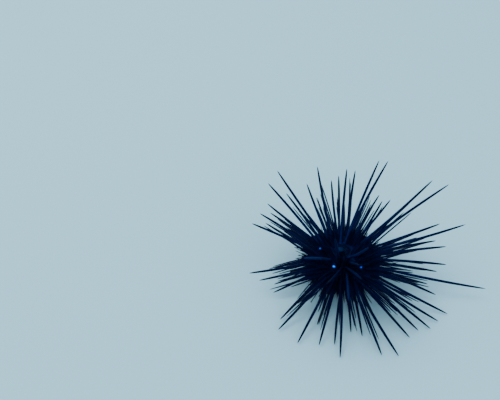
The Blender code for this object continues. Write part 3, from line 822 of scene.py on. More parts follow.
def disc_plates():
    """Five large plates, each with its pore, and five small ones between their outer corners."""
    out = skin_shares[:, None] / DISC_SHARE
    large = np.abs(turn_from(FIRST_WIDE_BEARING))[None, :]
    small = turn_from(FIRST_WIDE_BEARING + math.pi / SECTORS)[None, :]
    from_small = np.hypot(out * np.cos(small) - SMALL_PLATE_OUT, out * np.sin(small))
    from_border = out * np.sin(math.pi / SECTORS - large)
    from_pore = np.hypot(out * np.cos(large) - PORE_OUT, out * np.sin(large))
    inner, outer = PLATE_ENDS
    inside = np.minimum(np.minimum(out - inner, outer - out), np.minimum(from_border - 0.02, from_small - 0.2))
    large_plate = smooth_step(0, 0.1, inside)
    small_plate = smooth_step(0, 0.08, np.minimum(SMALL_PLATE_HALF - from_small, outer - out))
    return np.clip(large_plate + small_plate - np.exp(-((from_pore / PORE_WIDTH) ** 2)), 0, 1)


def on_disc():
    out = skin_shares[:, None] / DISC_SHARE
    return (1 - smooth_step(1.0, 1.25, out)) * np.ones(skin_points.shape[:2])


def on_mouth():
    inward = (skin_shares[:, None] - DISC_SHARE - SHELL_SHARE) / MOUTH_SHARE
    return smooth_step(-0.15, 0.05, inward) * np.ones(skin_points.shape[:2])


def seams():
    """The fine joints between the shell's plates, across the sectors and along their borders and middles."""
    down = (skin_shares[:, None] - DISC_SHARE) / SHELL_SHARE
    on_shell = smooth_step(0.04, 0.12, down) * (1 - smooth_step(0.97, 1, down))
    turn = turn_from(FIRST_WIDE_BEARING)[None, :]
    border = np.exp(-(((np.abs(turn) - WIDE_HALF) / BORDER_SEAM) ** 2))
    middles = np.exp(-((turn / MIDDLE_SEAM) ** 2))
    middles = middles + np.exp(-(((np.abs(turn) - math.pi / SECTORS) / MIDDLE_SEAM) ** 2))
    stagger = 0.5 * (np.sign(turn) + 1) / 2
    across = np.abs((down * PLATE_ROWS + stagger) % 1 - 0.5)
    rows = smooth_step(0.4, 0.5, across)
    return on_shell * np.clip(border + 0.6 * middles + 0.7 * rows, 0, 1)


def mouth_wrinkles():
    """Folds round the mouth that wander a little, broken by folds towards the lips."""
    inward = (skin_shares[:, None] - DISC_SHARE - SHELL_SHARE) / MOUTH_SHARE
    wander = 0.05 * np.sin(azimuths * 10)[None, :] + 0.03 * np.sin(azimuths * 23 + 1)[None, :]
    folds = 0.5 + 0.5 * np.cos((inward + wander) * WRINKLE_WAVES)
    towards_lips = 0.6 + 0.4 * np.cos(azimuths * 50 + 3 * np.sin(inward * 9))
    return smooth_step(0, 0.1, inward) * (1 - smooth_step(1, 1.3, inward)) * folds * towards_lips


STRIP_HALF = 0.15
TOP_LATITUDE = latitude_at(DISC_RADIUS, 1)


def strip_bearing(index, latitude):
    """The middle of a bare strip, which runs from the disc to the spot."""
    bearing, low = spot_place(index)
    middle = sector_bearing(index)
    return middle + (bearing - middle) * np.clip((TOP_LATITUDE - latitude) / (TOP_LATITUDE - low), 0, 1)


def bare_zones():
    """The bare strips along the tops of the wide sectors, where fine lines run and one bright spot sits with
    its painted glow.
    """
    down = (skin_shares[:, None] - DISC_SHARE) / SHELL_SHARE
    latitudes = TOP_LATITUDE + (latitude_at(MOUTH_RADIUS, -1) - TOP_LATITUDE) * down
    bare = np.zeros(skin_points.shape[:2])
    for index in range(SECTORS):
        below = latitudes - spot_place(index)[1]
        turn = azimuths[None, :] - strip_bearing(index, latitudes)
        turn = np.abs((turn + math.pi) % math.tau - math.pi)
        strip = smooth_step(-0.12, -0.02, below) * (1 - smooth_step(0.8, 1.2, turn / STRIP_HALF))
        bare = np.maximum(bare, strip * smooth_step(0, 0.03, down))
    return bare


def normals_of(points):
    east = np.roll(points, -1, axis=1) - np.roll(points, 1, axis=1)
    south = np.gradient(points, axis=0)
    normal = np.cross(south, east)
    return normal / np.maximum(np.linalg.norm(normal, axis=2, keepdims=True), 1e-12)


forms = {
    "tubercle": tubercles(skin_points, [s.root for s in spines]),
    "plate": disc_plates(),
    "seam": seams(),
    "wrinkle": mouth_wrinkles(),
    "bare": bare_zones(),
    "disc": on_disc(),
    "mouth": on_mouth(),
}
heights = (
    forms["tubercle"] * TUBERCLE_HEIGHT
    + forms["plate"] * PLATE_HEIGHT
    - forms["seam"] * SEAM_DEPTH
    + forms["wrinkle"] * WRINKLE_HEIGHT
)
skin_formed = skin_points + normals_of(skin_points) * heights[:, :, None]
print("forms on the skin:", ", ".join(forms))

# %% [markdown]
# The grid becomes a mesh with four-sided faces, closed by a point at the disc's middle and one in the
# throat. Its unwrap is as simple as the grid: the bearing runs across and the row runs down. Every spine,
# foot and line that grows from the skin later takes a small patch of this same unwrap at its root.

# %% Build the skin
PATCH = 0.003


def unwrap_place(point):
    """Where a point of the skin lies on the unwrap."""
    azimuth = math.atan2(point[1], point[0]) % math.tau
    column = skin_points[:, int(azimuth / math.tau * SKIN_COLUMNS) % SKIN_COLUMNS]
    row = int(np.argmin(np.linalg.norm(column - np.array(point), axis=1)))
    return azimuth / math.tau, 1 - float(skin_shares[row])


def on_vertices(grid):
    """Numbers over the grid in the order of the skin's vertices, with 0 at its two poles."""
    return np.append(np.broadcast_to(grid, skin_points.shape[:2]), [0, 0])


def skin_faces():
    """Faces of the grid, whose last column meets the first, and the fans round its two poles."""
    wide, last = SKIN_COLUMNS, (SKIN_ROWS - 1) * SKIN_COLUMNS
    pairs = [(column, (column + 1) % wide) for column in range(wide)]
    faces = []
    for row in range(0, last, wide):
        faces += [(row + k, row + wide + k, row + wide + after, row + after) for k, after in pairs]
    for k, after in pairs:
        faces += [(k, after, last + wide), (last + after, last + k, last + wide + 1)]
    return faces


def unwrap_skin(mesh):
    """Bearing across and row down. A face over the seam uses the place just past the right edge."""
    grid = SKIN_ROWS * SKIN_COLUMNS
    uv = mesh.uv_layers.new(name="OFBake")
    corner_vertex = np.empty(len(mesh.loops), np.int32)
    mesh.loops.foreach_get("vertex_index", corner_vertex)
    on_grid = corner_vertex < grid
    across = np.where(on_grid, corner_vertex % SKIN_COLUMNS, 0) / SKIN_COLUMNS
    down = np.where(on_grid, corner_vertex // SKIN_COLUMNS + 0.5, 0) / SKIN_ROWS
    down = np.where(corner_vertex == grid + 1, 1, down)
    sizes = np.array([p.loop_total for p in mesh.polygons])
    starts = np.cumsum(sizes) - sizes
    widest = np.repeat(np.maximum.reduceat(across, starts), sizes)
    across = np.where((widest > 0.9) & (across < 0.1), across + 1, across)
    across = np.where(on_grid, across, widest) * SKIN_COLUMNS / (SKIN_COLUMNS + 1)
    uv.data.foreach_set("uv", np.stack([across, 1 - down], axis=1).astype(np.float32).ravel())


poles = [skin_formed[0].mean(axis=0), skin_formed[-1].mean(axis=0)]
skin_vertices = np.concatenate([skin_formed.reshape(-1, 3), poles])
form_values = {name: on_vertices(form) for name, form in forms.items()}
skin_mesh = new_mesh("skin", skin_vertices, skin_faces(), **form_values)
unwrap_skin(skin_mesh)
skin_mesh.shade_smooth()
print("skin:", len(skin_mesh.polygons), "faces")

# %% [markdown]
# Geometry Nodes sweep every long, thin thing on the animal: spines, feet, gills and lines. A short helper
# adds a node, sets or links its inputs in order, and hands the node back, so that a tree reads like a
# recipe.

# %% Helpers for node trees
class Nodes:
    """A node tree that is written line by line."""

    def add(self, kind, *values, **settings):
        """A new node with its settings, whose shown inputs are set or linked in order."""
        node = self.tree.nodes.new(kind)
        for name, value in settings.items():
            setattr(node, name, value)
        shown = [socket for socket in node.inputs if socket.enabled]
        for socket, value in zip(shown, values):
            if isinstance(value, bpy.types.NodeSocket):
                self.tree.links.new(value, socket)
            elif value is not None:
                socket.default_value = value
        return node

    def value(self, kind, *values, **settings):
        """The first shown output of a new node."""
        node = self.add(kind, *values, **settings)
        return next(socket for socket in node.outputs if socket.enabled)

    def math(self, operation, *values):
        return self.value("ShaderNodeMath", *values, operation=operation)


class Recipe(Nodes):
    """A geometry node tree with a geometry input and output and named inputs for its sizes."""

    def __init__(self, name, sizes):
        self.tree = bpy.data.node_groups.new(name, "GeometryNodeTree")
        face = self.tree.interface
        face.new_socket("Geometry", in_out="INPUT", socket_type="NodeSocketGeometry")
        self.keys = {}
        for label, value in sizes.items():
            kind = "NodeSocketInt" if isinstance(value, int) else "NodeSocketFloat"
            if label == "Material":
                kind = "NodeSocketMaterial"
            socket = face.new_socket(label, in_out="INPUT", socket_type=kind)
            socket.default_value = value
            self.keys[label] = socket.identifier
        face.new_socket("Geometry", in_out="OUTPUT", socket_type="NodeSocketGeometry")
        self.start = self.tree.nodes.new("NodeGroupInput")
        self.end = self.tree.nodes.new("NodeGroupOutput")

    def size(self, label):
        return self.start.outputs[label]

    def vector(self, operation, *values):
        return self.value("ShaderNodeVectorMath", *values, operation=operation)

    def named(self, name, kind="FLOAT"):
        return self.value("GeometryNodeInputNamedAttribute", name, data_type=kind)

    def store(self, geometry, name, value):
        return self.value("GeometryNodeStoreNamedAttribute", geometry, None, name, value)

    def finish(self, geometry):
        """Ends the tree: instances realized, shaded smooth, with the material that is given to it."""
        whole = self.value("GeometryNodeRealizeInstances", geometry)
        smooth = self.value("GeometryNodeSetShadeSmooth", whole)
        painted = self.value("GeometryNodeSetMaterial", smooth, None, self.size("Material"))
        self.tree.links.new(painted, self.end.inputs[0])

    def bake(self, guide, name, **sizes):
        """Runs the tree on a guide mesh and returns the result as a plain mesh."""
        carrier = new_object(name, guide)
        modifier = carrier.modifiers.new(name, "NODES")
        modifier.node_group = self.tree
        for label, value in sizes.items():
            modifier[self.keys[label.replace("_", " ")]] = value
        graph = bpy.context.evaluated_depsgraph_get()
        evaluated = carrier.evaluated_get(graph)
        mesh = bpy.data.meshes.new_from_object(evaluated, preserve_all_data_layers=True, depsgraph=graph)
        bpy.data.objects.remove(carrier)
        mesh.name = name
        return mesh


# %% [markdown]
# The sweep takes guide lines with a thickness at each point. It turns them into curves, scales a round
# profile along them, and closes the ends. A spine has more to it than a cone: a soft sleeve of muscle hugs
# its foot, a milled ring stands over that, where the muscle pulls, and the shaft above stays thick to its
# shoulder and thins to a needle's point. Each of these is one term of the profile's scale.

# %% The sweep
def bell(recipe, value):
    """A bump round 0 that fades to both sides."""
    square = recipe.math("MULTIPLY", value, value)
    return recipe.math("EXPONENT", recipe.math("MULTIPLY", square, -1.0))


def sweep_recipe():
    r = Recipe("sweep", {
        "Sides": 8, "Taper": 0.6, "Shoulder": 1.0, "Tip": 0.08, "Sleeve": 0.0, "Sleeve length": 1.3 * MM,
        "Ring": 0.0, "Ring place": 2.6 * MM, "Ring width": 0.3 * MM, "Flare": 0.0, "Material": None,
    })
    curve = r.value("GeometryNodeMeshToCurve", r.start.outputs[0])
    place = r.add("GeometryNodeSplineParameter")
    share, distance = place.outputs["Factor"], place.outputs["Length"]
    curve = r.store(curve, "along", share)
    left = r.math("SUBTRACT", 1.0, r.math("POWER", share, r.size("Shoulder")))
    taper = r.math("MAXIMUM", r.math("POWER", left, r.size("Taper")), r.size("Tip"))
    sleeve = bell(r, r.math("DIVIDE", distance, r.size("Sleeve length")))
    from_ring = r.math("SUBTRACT", distance, r.size("Ring place"))
    ring = bell(r, r.math("DIVIDE", from_ring, r.size("Ring width")))
    end = r.value("ShaderNodeMapRange", share, 0.9, 1.0, 0.0, 1.0, interpolation_type="SMOOTHSTEP")
    extra = r.math("MULTIPLY", sleeve, r.size("Sleeve"))
    for form, size in ((ring, "Ring"), (end, "Flare")):
        extra = r.math("ADD", extra, r.math("MULTIPLY", form, r.size(size)))
    scale = r.math("MULTIPLY", taper, r.math("ADD", extra, 1.0))
    scale = r.math("MULTIPLY", scale, r.named("thickness"))
    profile = r.value("GeometryNodeCurvePrimitiveCircle", r.size("Sides"), 1.0)
    profile = r.store(profile, "around", r.add("GeometryNodeSplineParameter").outputs["Factor"])
    r.finish(r.value("GeometryNodeCurveToMesh", curve, profile, scale, True))
    return r


sweep = sweep_recipe()


def guide_mesh(name, lines):
    """One guide of joined points for each (points, thickness, tint), with its root's place on the unwrap."""
    vertices, edges, columns = [], [], []
    for points, thick, tint in lines:
        edges += [(len(vertices) + k, len(vertices) + k + 1) for k in range(len(points) - 1)]
        vertices += points
        columns += [(*unwrap_place(points[0]), thick, tint)] * len(points)
    labels = ("root_u", "root_v", "thickness", "tint")
    return new_mesh(name, vertices, [], edges, **dict(zip(labels, zip(*columns))))


def lay_patches(mesh):
    """Gives each piece that grows from the skin its small patch of the skin's unwrap."""
    read = {}
    for name in ("root_u", "root_v", "around", "along"):
        read[name] = np.zeros(len(mesh.vertices), np.float32)
        mesh.attributes[name].data.foreach_get("value", read[name])
    u = read["root_u"] * SKIN_COLUMNS / (SKIN_COLUMNS + 1) + PATCH * read["around"]
    v = read["root_v"] + PATCH * (read["along"] - 0.5)
    corner_vertex = np.empty(len(mesh.loops), np.int32)
    mesh.loops.foreach_get("vertex_index", corner_vertex)
    places = np.clip(np.stack([u, v], axis=1), 0, 1)[corner_vertex]
    mesh.uv_layers.new(name="OFBake").data.foreach_set("uv", places.astype(np.float32).ravel())


def swept(name, lines, **sizes):
    """A mesh swept along the guides, with its patches."""
    mesh = sweep.bake(guide_mesh(name, lines), name, **sizes)
    lay_patches(mesh)
    return mesh


pieces = []


def triangle_count(mesh):
    return sum(len(p.vertices) - 2 for p in mesh.polygons)


def add_piece(name, mesh, replaced=(), finish=None):
    """Puts a finished mesh in its place on the animal and ties it to the frame."""
    mesh.transform(Matrix.Translation(AXIS_PLACE))
    if finish:
        mesh.materials.append(finish)
    piece = new_object(name, mesh)
    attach(piece, "root")
    if replaced:
        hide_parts(*replaced)
    pieces.append(piece)
    print(f"{name}: {triangle_count(mesh)} triangles")


# %% [markdown]
# Materials come before the pieces. A short helper writes a material in the way the recipe writes a shape.
# It reads what the sweep has stored at each point, spreads noise, puts colours on a ramp, and adds a bump.

# %% A helper for materials
class Paint(Nodes):
    """A material made of shader nodes, line by line."""

    def __init__(self, name, roughness, **sockets):
        self.material = bpy.data.materials.new(name)
        self.material.use_nodes = True
        self.tree = self.material.node_tree
        self.shader = self.tree.nodes["Principled BSDF"]
        self.shader.inputs["Roughness"].default_value = roughness
        for label, value in sockets.items():
            self.shader.inputs[label.replace("_", " ")].default_value = value

    def attribute(self, name):
        return self.add("ShaderNodeAttribute", attribute_name=name).outputs["Fac"]

    def place(self):
        return self.add("ShaderNodeTexCoord").outputs["Object"]

    def noise(self, scale, detail=3.0):
        return self.value("ShaderNodeTexNoise", self.place(), scale, detail)

    def ramp(self, factor, *stops):
        """Colours at shares of a factor."""
        node = self.add("ShaderNodeValToRGB", factor)
        bands = node.color_ramp.elements
        while len(bands) < len(stops):
            bands.new(0.5)
        for band, (share, *colour) in zip(bands, stops):
            band.position = share
            band.color = (*colour, 1)
        return node.outputs["Color"]

    def mix(self, factor, *colours):
        full = [c if isinstance(c, bpy.types.NodeSocket) else (*c, 1) for c in colours]
        return self.value("ShaderNodeMix", factor, *full, data_type="RGBA")

    def link(self, value, label):
        self.tree.links.new(value, self.shader.inputs[label])

    def bump(self, height, strength, distance):
        node = self.add("ShaderNodeBump")
        node.inputs["Strength"].default_value = strength
        node.inputs["Distance"].default_value = distance
        self.tree.links.new(height, node.inputs["Height"])
        self.link(node.outputs[0], "Normal")


# %% [markdown]
# A spine of this animal is near black, with fine grooves along it that give it a silky, faintly blue sheen.
# The grooves are a wave round the shaft and the whorls a wave along it, both read from what the sweep
# stores, so they follow each spine. A little colour varies at random from spine to spine and towards the tip:
# the root is blue, partly its own colour and partly painted light that brightens the shaded core of the coat,
# and the shaft goes black. Spines that face the viewer get a painted highlight that keeps them blue.

# %% Black spines
GROOVES = 14
WHORLS = 70
GROOVE_SHARE = 0.6
DARK_TINTS = 0.9
SHAFT_BLACK = (0.0002, 0.0010, 0.010)


def black_spines():
    """Blue at the root and black along the shaft, the blue partly the spine's own and partly painted light
    that brightens the shaded core. Spines that catch light have tints over DARK_TINTS, a painted highlight.
    """
    p = Paint("black_spines", 0.4, Specular_IOR_Level=0.12, Specular_Tint=(0.15, 0.4, 1, 1))
    around = p.math("MULTIPLY", p.attribute("around"), math.tau * GROOVES)
    grooves = p.math("MULTIPLY_ADD", p.math("SINE", around), 0.5, 0.5)
    whorls = p.math("FRACT", p.math("MULTIPLY", p.attribute("along"), float(WHORLS)))
    height = p.math("MULTIPLY", whorls, 1 - GROOVE_SHARE)
    p.bump(p.math("ADD", p.math("MULTIPLY", grooves, GROOVE_SHARE), height), 0.5, 0.12 * MM)
    tint = p.attribute("tint")
    # Tints up to DARK_TINTS are the spines' own random tones. Over it the colour is the painted highlight of
    # the long spines that face the viewer; short spines reach it at random.
    body = p.ramp(tint, (0, 0.0005, 0.0046, 0.063), (0.9, 0.0008, 0.0062, 0.086), (1, 0.0012, 0.0150, 0.105))
    # The shaft fades from the root's blue, partly painted light in the shaded core, to black, and fades less
    # under a painted highlight.
    fade_left_by_painted_highlight = p.value("ShaderNodeMapRange", tint, DARK_TINTS, 1.0, 1.0, 0.3)
    shaft = p.math("MULTIPLY", fade_left_by_painted_highlight, p.math("POWER", p.attribute("along"), 0.6))
    p.link(p.mix(shaft, body, SHAFT_BLACK), "Base Color")
    p.link(p.math("MULTIPLY_ADD", p.noise(900.0), 0.2, 0.32), "Roughness")
    return p.material


spine_paint = black_spines()

# %% [markdown]
# Each long spine is one guide line. The points crowd near the root, where the sleeve and the ring need
# them, and spread out towards the tip. A slight bow keeps them from looking like wires. The walking spines
# end on the floor in small flat feet, so their guides stop there and taper less.

# %% Long spines
FOOT_DISTANCES = [d * MM for d in (0, 0.7, 1.3, 1.9, 2.3, 2.6, 2.9, 3.6)]
SHAFT_SHARES = (0.14, 0.28, 0.42, 0.56, 0.7, 0.82, 0.91, 0.97, 1)
FULL_FOOT_LENGTH = 30 * MM
BOW_SHARE = 0.012
ROOT_SINK = 0.6 * MM
LEADER_THICKNESS = 1.5
FOLLOWER_THICKNESS = 0.88
WALKING_THICKNESS = 0.9


def spine_line(spine, rng):
    """The guide points of a spine. A spine shorter than the full foot length has its foot shortened too."""
    across = spine.axis.orthogonal().normalized()
    bow = (Matrix.Rotation(rng.uniform(0, math.tau), 3, spine.axis) @ across) * spine.length * BOW_SHARE
    start = spine.root - spine.axis * ROOT_SINK
    length = (spine.tip - start).length
    foot = min(1, length / FULL_FOOT_LENGTH)
    shares = [d * foot / length for d in FOOT_DISTANCES]
    shares += [shares[-1] + (1 - shares[-1]) * s for s in SHAFT_SHARES]
    return [start.lerp(spine.tip, s) + bow * math.sin(math.pi * s) for s in shares]


def dressed_spine(spine, rng):
    """Guide, thickness and tint. A spine that points at the viewer and catches the light is painted bluer, a
    painted highlight.
    """
    stout = LEADER_THICKNESS if spine.leads else FOLLOWER_THICKNESS
    tint = DARK_TINTS + (1 - DARK_TINTS) * spine.light if spine.light else rng.uniform(0, DARK_TINTS)
    return spine_line(spine, rng), spine.radius * stout, tint


def make_long_spines():
    rng = random.Random(SEED + 2)
    for name, _, _, _ in sector_places():
        lines = [dressed_spine(s, rng) for s in spines if s.sector == name and not s.walks]
        mesh = swept(name, lines, Sides=7, Taper=0.45, Shoulder=5, Sleeve=0.5, Ring=0.25,
                     Material=spine_paint)
        add_piece(name.replace("sector", "sector_spines"), mesh, [name])


def make_walking_spines():
    rng = random.Random(SEED + 3)
    walking = [s for s in spines if s.walks]
    lines = [(spine_line(s, rng), s.radius * WALKING_THICKNESS, rng.uniform(0, DARK_TINTS)) for s in walking]
    mesh = swept("walking_spines", lines, Sides=7, Taper=0.25, Tip=0.55, Sleeve=0.75, Ring=0.3, Flare=0.35,
                 Material=spine_paint)
    for vertex in mesh.vertices:
        vertex.co.z = max(vertex.co.z, 0)
    add_piece("walking_spines", mesh)


make_long_spines()
make_walking_spines()

# %% [markdown]
# More than two thousand short, thin spines fill the skin between the long ones. Here the nodes choose the
# places: a Poisson scatter over the skin keeps them a set distance apart, each gets a random length and
# lean, and a small cone is set there. A vertex weight leaves out the disc, the mouth, the bare strips and
# the places of the spots.

# %% Short spines
SHORT_SPACING = 1.55 * MM
SHORT_LENGTHS = (7 * MM, 17 * MM)
SHORT_RADIUS = 0.30 * MM
SHORT_SIDES = 6
SHORT_RINGS = 4
MOST_PLACES = 4e6
SPOT_CLEARING = (2.2 * MM, 2.9 * MM)


def small_model(name, vertices, faces):
    """A mesh one unit high for the scatter, with its around and along."""
    around = [math.atan2(y, x) / math.tau % 1 for x, y, _ in vertices]
    return new_mesh(name, vertices, faces, around=around, along=[z for _, _, z in vertices])


def circle(sides, radius, height):
    turns = [math.tau * k / sides for k in range(sides)]
    return [(radius * math.cos(a), radius * math.sin(a), height) for a in turns]


def cone_mesh():
    """A cone one unit wide that thins to its tip."""
    vertices = []
    for ring in range(SHORT_RINGS):
        share = ring / SHORT_RINGS
        vertices += circle(SHORT_SIDES, (1 - share) ** 0.7, share)
    faces = ring_faces(SHORT_RINGS, SHORT_SIDES, high_tip=len(vertices))
    return small_model("cone", vertices + [(0, 0, 1)], faces)


def scatter_recipe(model):
    """Copies of a model over a surface, stood between its normal and the line from the middle of the body."""
    r = Recipe("scatter", {
        "Spacing": SHORT_SPACING, "Shortest": SHORT_LENGTHS[0], "Longest": SHORT_LENGTHS[1],
        "Radius": SHORT_RADIUS, "Lean": 0.25, "Seed": 3, "Floor": 1.2 * MM, "Material": None,
    })
    scatter = r.add("GeometryNodeDistributePointsOnFaces", r.start.outputs[0], None, r.size("Spacing"),
                    MOST_PLACES, r.named("coat"), r.size("Seed"), distribute_method="POISSON")
    place = r.value("GeometryNodeInputPosition")
    outward = r.vector("NORMALIZE", r.vector("SUBTRACT", place, tuple(shell_middle())))
    wander = r.value("FunctionNodeRandomValue", (-1, -1, -1), (1, 1, 1), None, 11, data_type="FLOAT_VECTOR")
    wander = r.vector("SCALE", wander, r.size("Lean"))
    aim = r.vector("ADD", r.vector("ADD", scatter.outputs["Normal"], outward), wander)
    aim = r.vector("NORMALIZE", aim)
    turned = r.value("FunctionNodeAlignRotationToVector", None, 1.0, aim, axis="Z")
    length = r.value("FunctionNodeRandomValue", r.size("Shortest"), r.size("Longest"), None, 12)
    fall = r.math("MULTIPLY", r.add("ShaderNodeSeparateXYZ", aim).outputs[2], -1.0)
    height = r.math("SUBTRACT", r.add("ShaderNodeSeparateXYZ", place).outputs[2], r.size("Floor"))
    length = r.math("MINIMUM", length, r.math("DIVIDE", height, r.math("MAXIMUM", fall, 1e-4)))
    tint = r.value("FunctionNodeRandomValue", 0.0, 1.0, None, 13)
    points = r.store(scatter.outputs["Points"], "tint", tint)
    size = r.value("ShaderNodeCombineXYZ", r.size("Radius"), r.size("Radius"), length)
    copy = r.add("GeometryNodeObjectInfo", model).outputs["Geometry"]
    r.finish(r.value("GeometryNodeInstanceOnPoints", points, None, copy, None, None, turned, size))
    return r


def coat_weight():
    """1 where short spines grow: the shell, but not its bare strips or the surroundings of a spot."""
    down = (skin_shares[:, None] - DISC_SHARE) / SHELL_SHARE
    weight = smooth_step(0.02, 0.06, down) * (1 - smooth_step(0.93, 0.97, down)) * (1 - forms["bare"])
    for index in range(SECTORS):
        away = np.linalg.norm(skin_points - np.array(shell_point(*spot_place(index))), axis=2)
        weight = weight * smooth_step(*SPOT_CLEARING, away)
    return weight


def coat_base():
    """A copy of the skin that carries the weight and the unwrap for what is scattered over it."""
    base = skin_mesh.copy()
    grids = {"coat": coat_weight(), "root_v": 1 - skin_shares[:, None], "root_u": azimuths / math.tau}
    for name, grid in grids.items():
        store(base, name, on_vertices(grid))
    return base


def add_scattered(name, model_mesh, slot, **sizes):
    """Sets one model all over the coat, and adds the copies as one piece."""
    model = new_object(model_mesh.name, model_mesh)
    mesh = scatter_recipe(model).bake(coat, name, **sizes)
    bpy.data.objects.remove(model)
    lay_patches(mesh)
    add_piece(name, mesh)


coat = coat_base()
add_scattered("short_spines", cone_mesh(), "black_spines", Material=spine_paint)

# %% [markdown]
# The skin itself is blue-black, slightly damp, darker in the seams. In the bare strips it shimmers a deep
# blue, because tiny plates under it reflect that colour, and fine blue lines run up the strips to the disc.
# The disc is painted darker than the shell, a painted shade for the light that falls on its open top, and
# the troughs of the folds round the mouth are painted darker than their ridges, a painted shade.

# %% Paint the skin
def dark_skin():
    p = Paint("dark_skin", 0.5, Specular_IOR_Level=0.08, Specular_Tint=(0.15, 0.4, 1, 1))
    mottle = p.ramp(p.noise(260.0, 4.0), (0.3, 0.0004, 0.0018, 0.025), (0.55, 0.0008, 0.0030, 0.040),
                    (0.8, 0.0012, 0.0040, 0.055))
    shimmer = p.math("MULTIPLY", p.attribute("bare"), p.noise(700.0, 2.0))
    blue = p.mix(shimmer, mottle, (0.002, 0.008, 0.05))
    dark = p.mix(p.attribute("seam"), blue, (0.0002, 0.0006, 0.006))
    # The disc in painted shade: darker than the shell where its open top catches the most light, and darkest
    # between its plates, where they join.
    disc_in_painted_shade = p.mix(p.attribute("plate"), (0.0001, 0.0006, 0.007), (0.0005, 0.0022, 0.026))
    disc = p.mix(p.attribute("disc"), dark, disc_in_painted_shade)
    # Round the mouth, the troughs of the folds are painted darker than the ridges: painted shade in the folds.
    fold = p.mix(p.attribute("wrinkle"), (0.0002, 0.0007, 0.007), (0.0010, 0.0026, 0.024))
    p.link(p.mix(p.attribute("mouth"), disc, fold), "Base Color")
    fine = p.math("MULTIPLY_ADD", p.noise(1500.0, 5.0), 0.7, p.math("MULTIPLY", p.attribute("wrinkle"), 0.3))
    p.bump(fine, 0.45, 0.3 * MM)
    p.link(p.math("MULTIPLY_ADD", p.noise(420.0), 0.3, 0.36), "Roughness")
    return p.material


FLESH = [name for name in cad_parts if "sector" in name] + ["top_disc", "mouth_skin"]
add_piece("skin", skin_mesh, FLESH, dark_skin())

# %% [markdown]
# Five bright spots, one high on each wide sector, are what catches the eye. Each is an oval lens of skin
# full of reflecting cells, blue with a paler, greener middle that is partly painted highlight. A painted glow,
# a little light of its own, stands for the sparkle of such cells, and how strong the glow and the pale middle
# are follows each spot's painted brightness, which makes some spots look more lit than others.

# %% Bright spots
SPOT_SIZE = (1.75 * MM, 1.35 * MM)
SPOT_DOME = 0.45 * MM
SPOT_EDGE_SINK = 0.15 * MM
SPOT_RINGS = 7
SPOT_SIDES = 24


def spot_paint():
    p = Paint("blue_spots", 0.3, Specular_IOR_Level=0.15, Specular_Tint=(0.1, 0.5, 1, 1),
              Emission_Strength=0.8)
    # The paler, greener middle is partly painted highlight and grows with each spot's painted brightness.
    shade = p.ramp(p.attribute("middle"), (0, 0.0, 0.01, 0.20), (0.3, 0.0, 0.02, 0.45),
                   (0.6, 0.0, 0.06, 0.70), (0.85, 0.0, 0.35, 0.85), (1, 0.0, 0.62, 0.85))
    p.link(shade, "Base Color")
    # The emission colour is a painted glow, strongest in the middle of the brightest spots.
    painted_glow = p.ramp(p.attribute("middle"), (0, 0.0, 0.01, 0.25), (0.5, 0.0, 0.07, 1.0), (1, 0.0, 0.32, 1.0))
    p.link(painted_glow, "Emission Color")
    p.bump(p.value("ShaderNodeTexVoronoi", p.place(), 2200.0), 0.3, 0.1 * MM)
    return p.material


def spot_mesh(name, azimuth, latitude, size, painted_shine):
    """A low oval dome that lies on the shell, wider round the body than up it, and closed underneath."""
    centre = shell_point(azimuth, latitude)
    normal = shell_normal(azimuth, latitude)
    east = Vector((-math.sin(azimuth), math.cos(azimuth), 0)) * size
    north = normal.cross(east)
    vertices, middles = [], []
    for ring in range(SPOT_RINGS):
        share = 1 - ring / SPOT_RINGS
        rise = SPOT_DOME * (1 - share**2) - SPOT_EDGE_SINK * share
        for cosine, sine, _ in circle(SPOT_SIDES, share, 0):
            flat = east * cosine * SPOT_SIZE[0] + north * sine * SPOT_SIZE[1]
            vertices.append(centre + flat + normal * rise)
            # The painted brightness, highest at the middle of the dome.
            middles.append(painted_shine * (1 - share**2))
    below = len(vertices)
    vertices += [centre - normal * SPOT_DOME, centre + normal * SPOT_DOME]
    faces = ring_faces(SPOT_RINGS, SPOT_SIDES, below, below + 1)
    mesh = new_mesh(name, vertices, faces, middle=middles + [0, painted_shine])
    mesh.shade_smooth()
    return mesh


blue = spot_paint()
for index in range(SECTORS):
    name = f"blue_spot_{index + 1}"
    mesh = spot_mesh(name, *spot_place(index), *SPOT_PLACES[index][2:])
    add_piece(name, mesh, finish=blue)

# %% [markdown]
# Thin blue lines run from each spot up both edges of the bare strip to the disc. They are swept like the
# spines, but sunk so far into the skin that only a low ridge shows.

# %% Blue lines
LINE_RADIUS = 0.22 * MM
LINE_SINK = 0.1 * MM
LINE_POINTS = 22
LINE_TURNS = (2, 6)
LINE_ENDS = (3, -2)


def line_paint():
    p = Paint("blue_lines", 0.5, Specular_IOR_Level=0.1, Specular_Tint=(0.1, 0.4, 1, 1))
    p.link(p.ramp(p.noise(800.0, 2.0), (0.35, 0.0, 0.004, 0.03), (0.6, 0.0, 0.012, 0.09),
                  (0.85, 0.0, 0.03, 0.18)), "Base Color")
    return p.material


def strip_edge(index, side):
    """A line from the spot to the disc along one edge of the bare strip."""
    points = []
    low = spot_place(index)[1] + math.radians(LINE_ENDS[0])
    high = TOP_LATITUDE + math.radians(LINE_ENDS[1])
    for k in range(LINE_POINTS):
        share = k / (LINE_POINTS - 1)
        latitude = low + (high - low) * share
        turn = math.radians(LINE_TURNS[0] + LINE_TURNS[1] * math.sin(share * math.pi / 2))
        azimuth = float(strip_bearing(index, latitude)) + side * turn
        points.append(shell_point(azimuth, latitude) - shell_normal(azimuth, latitude) * LINE_SINK)
    return points


lines = [(strip_edge(index, side), LINE_RADIUS, 0.5) for index in range(SECTORS) for side in (-1, 1)]
line_mesh = swept("blue_lines", lines, Sides=6, Taper=0.25, Tip=0.3, Material=line_paint())
add_piece("blue_lines", line_mesh)

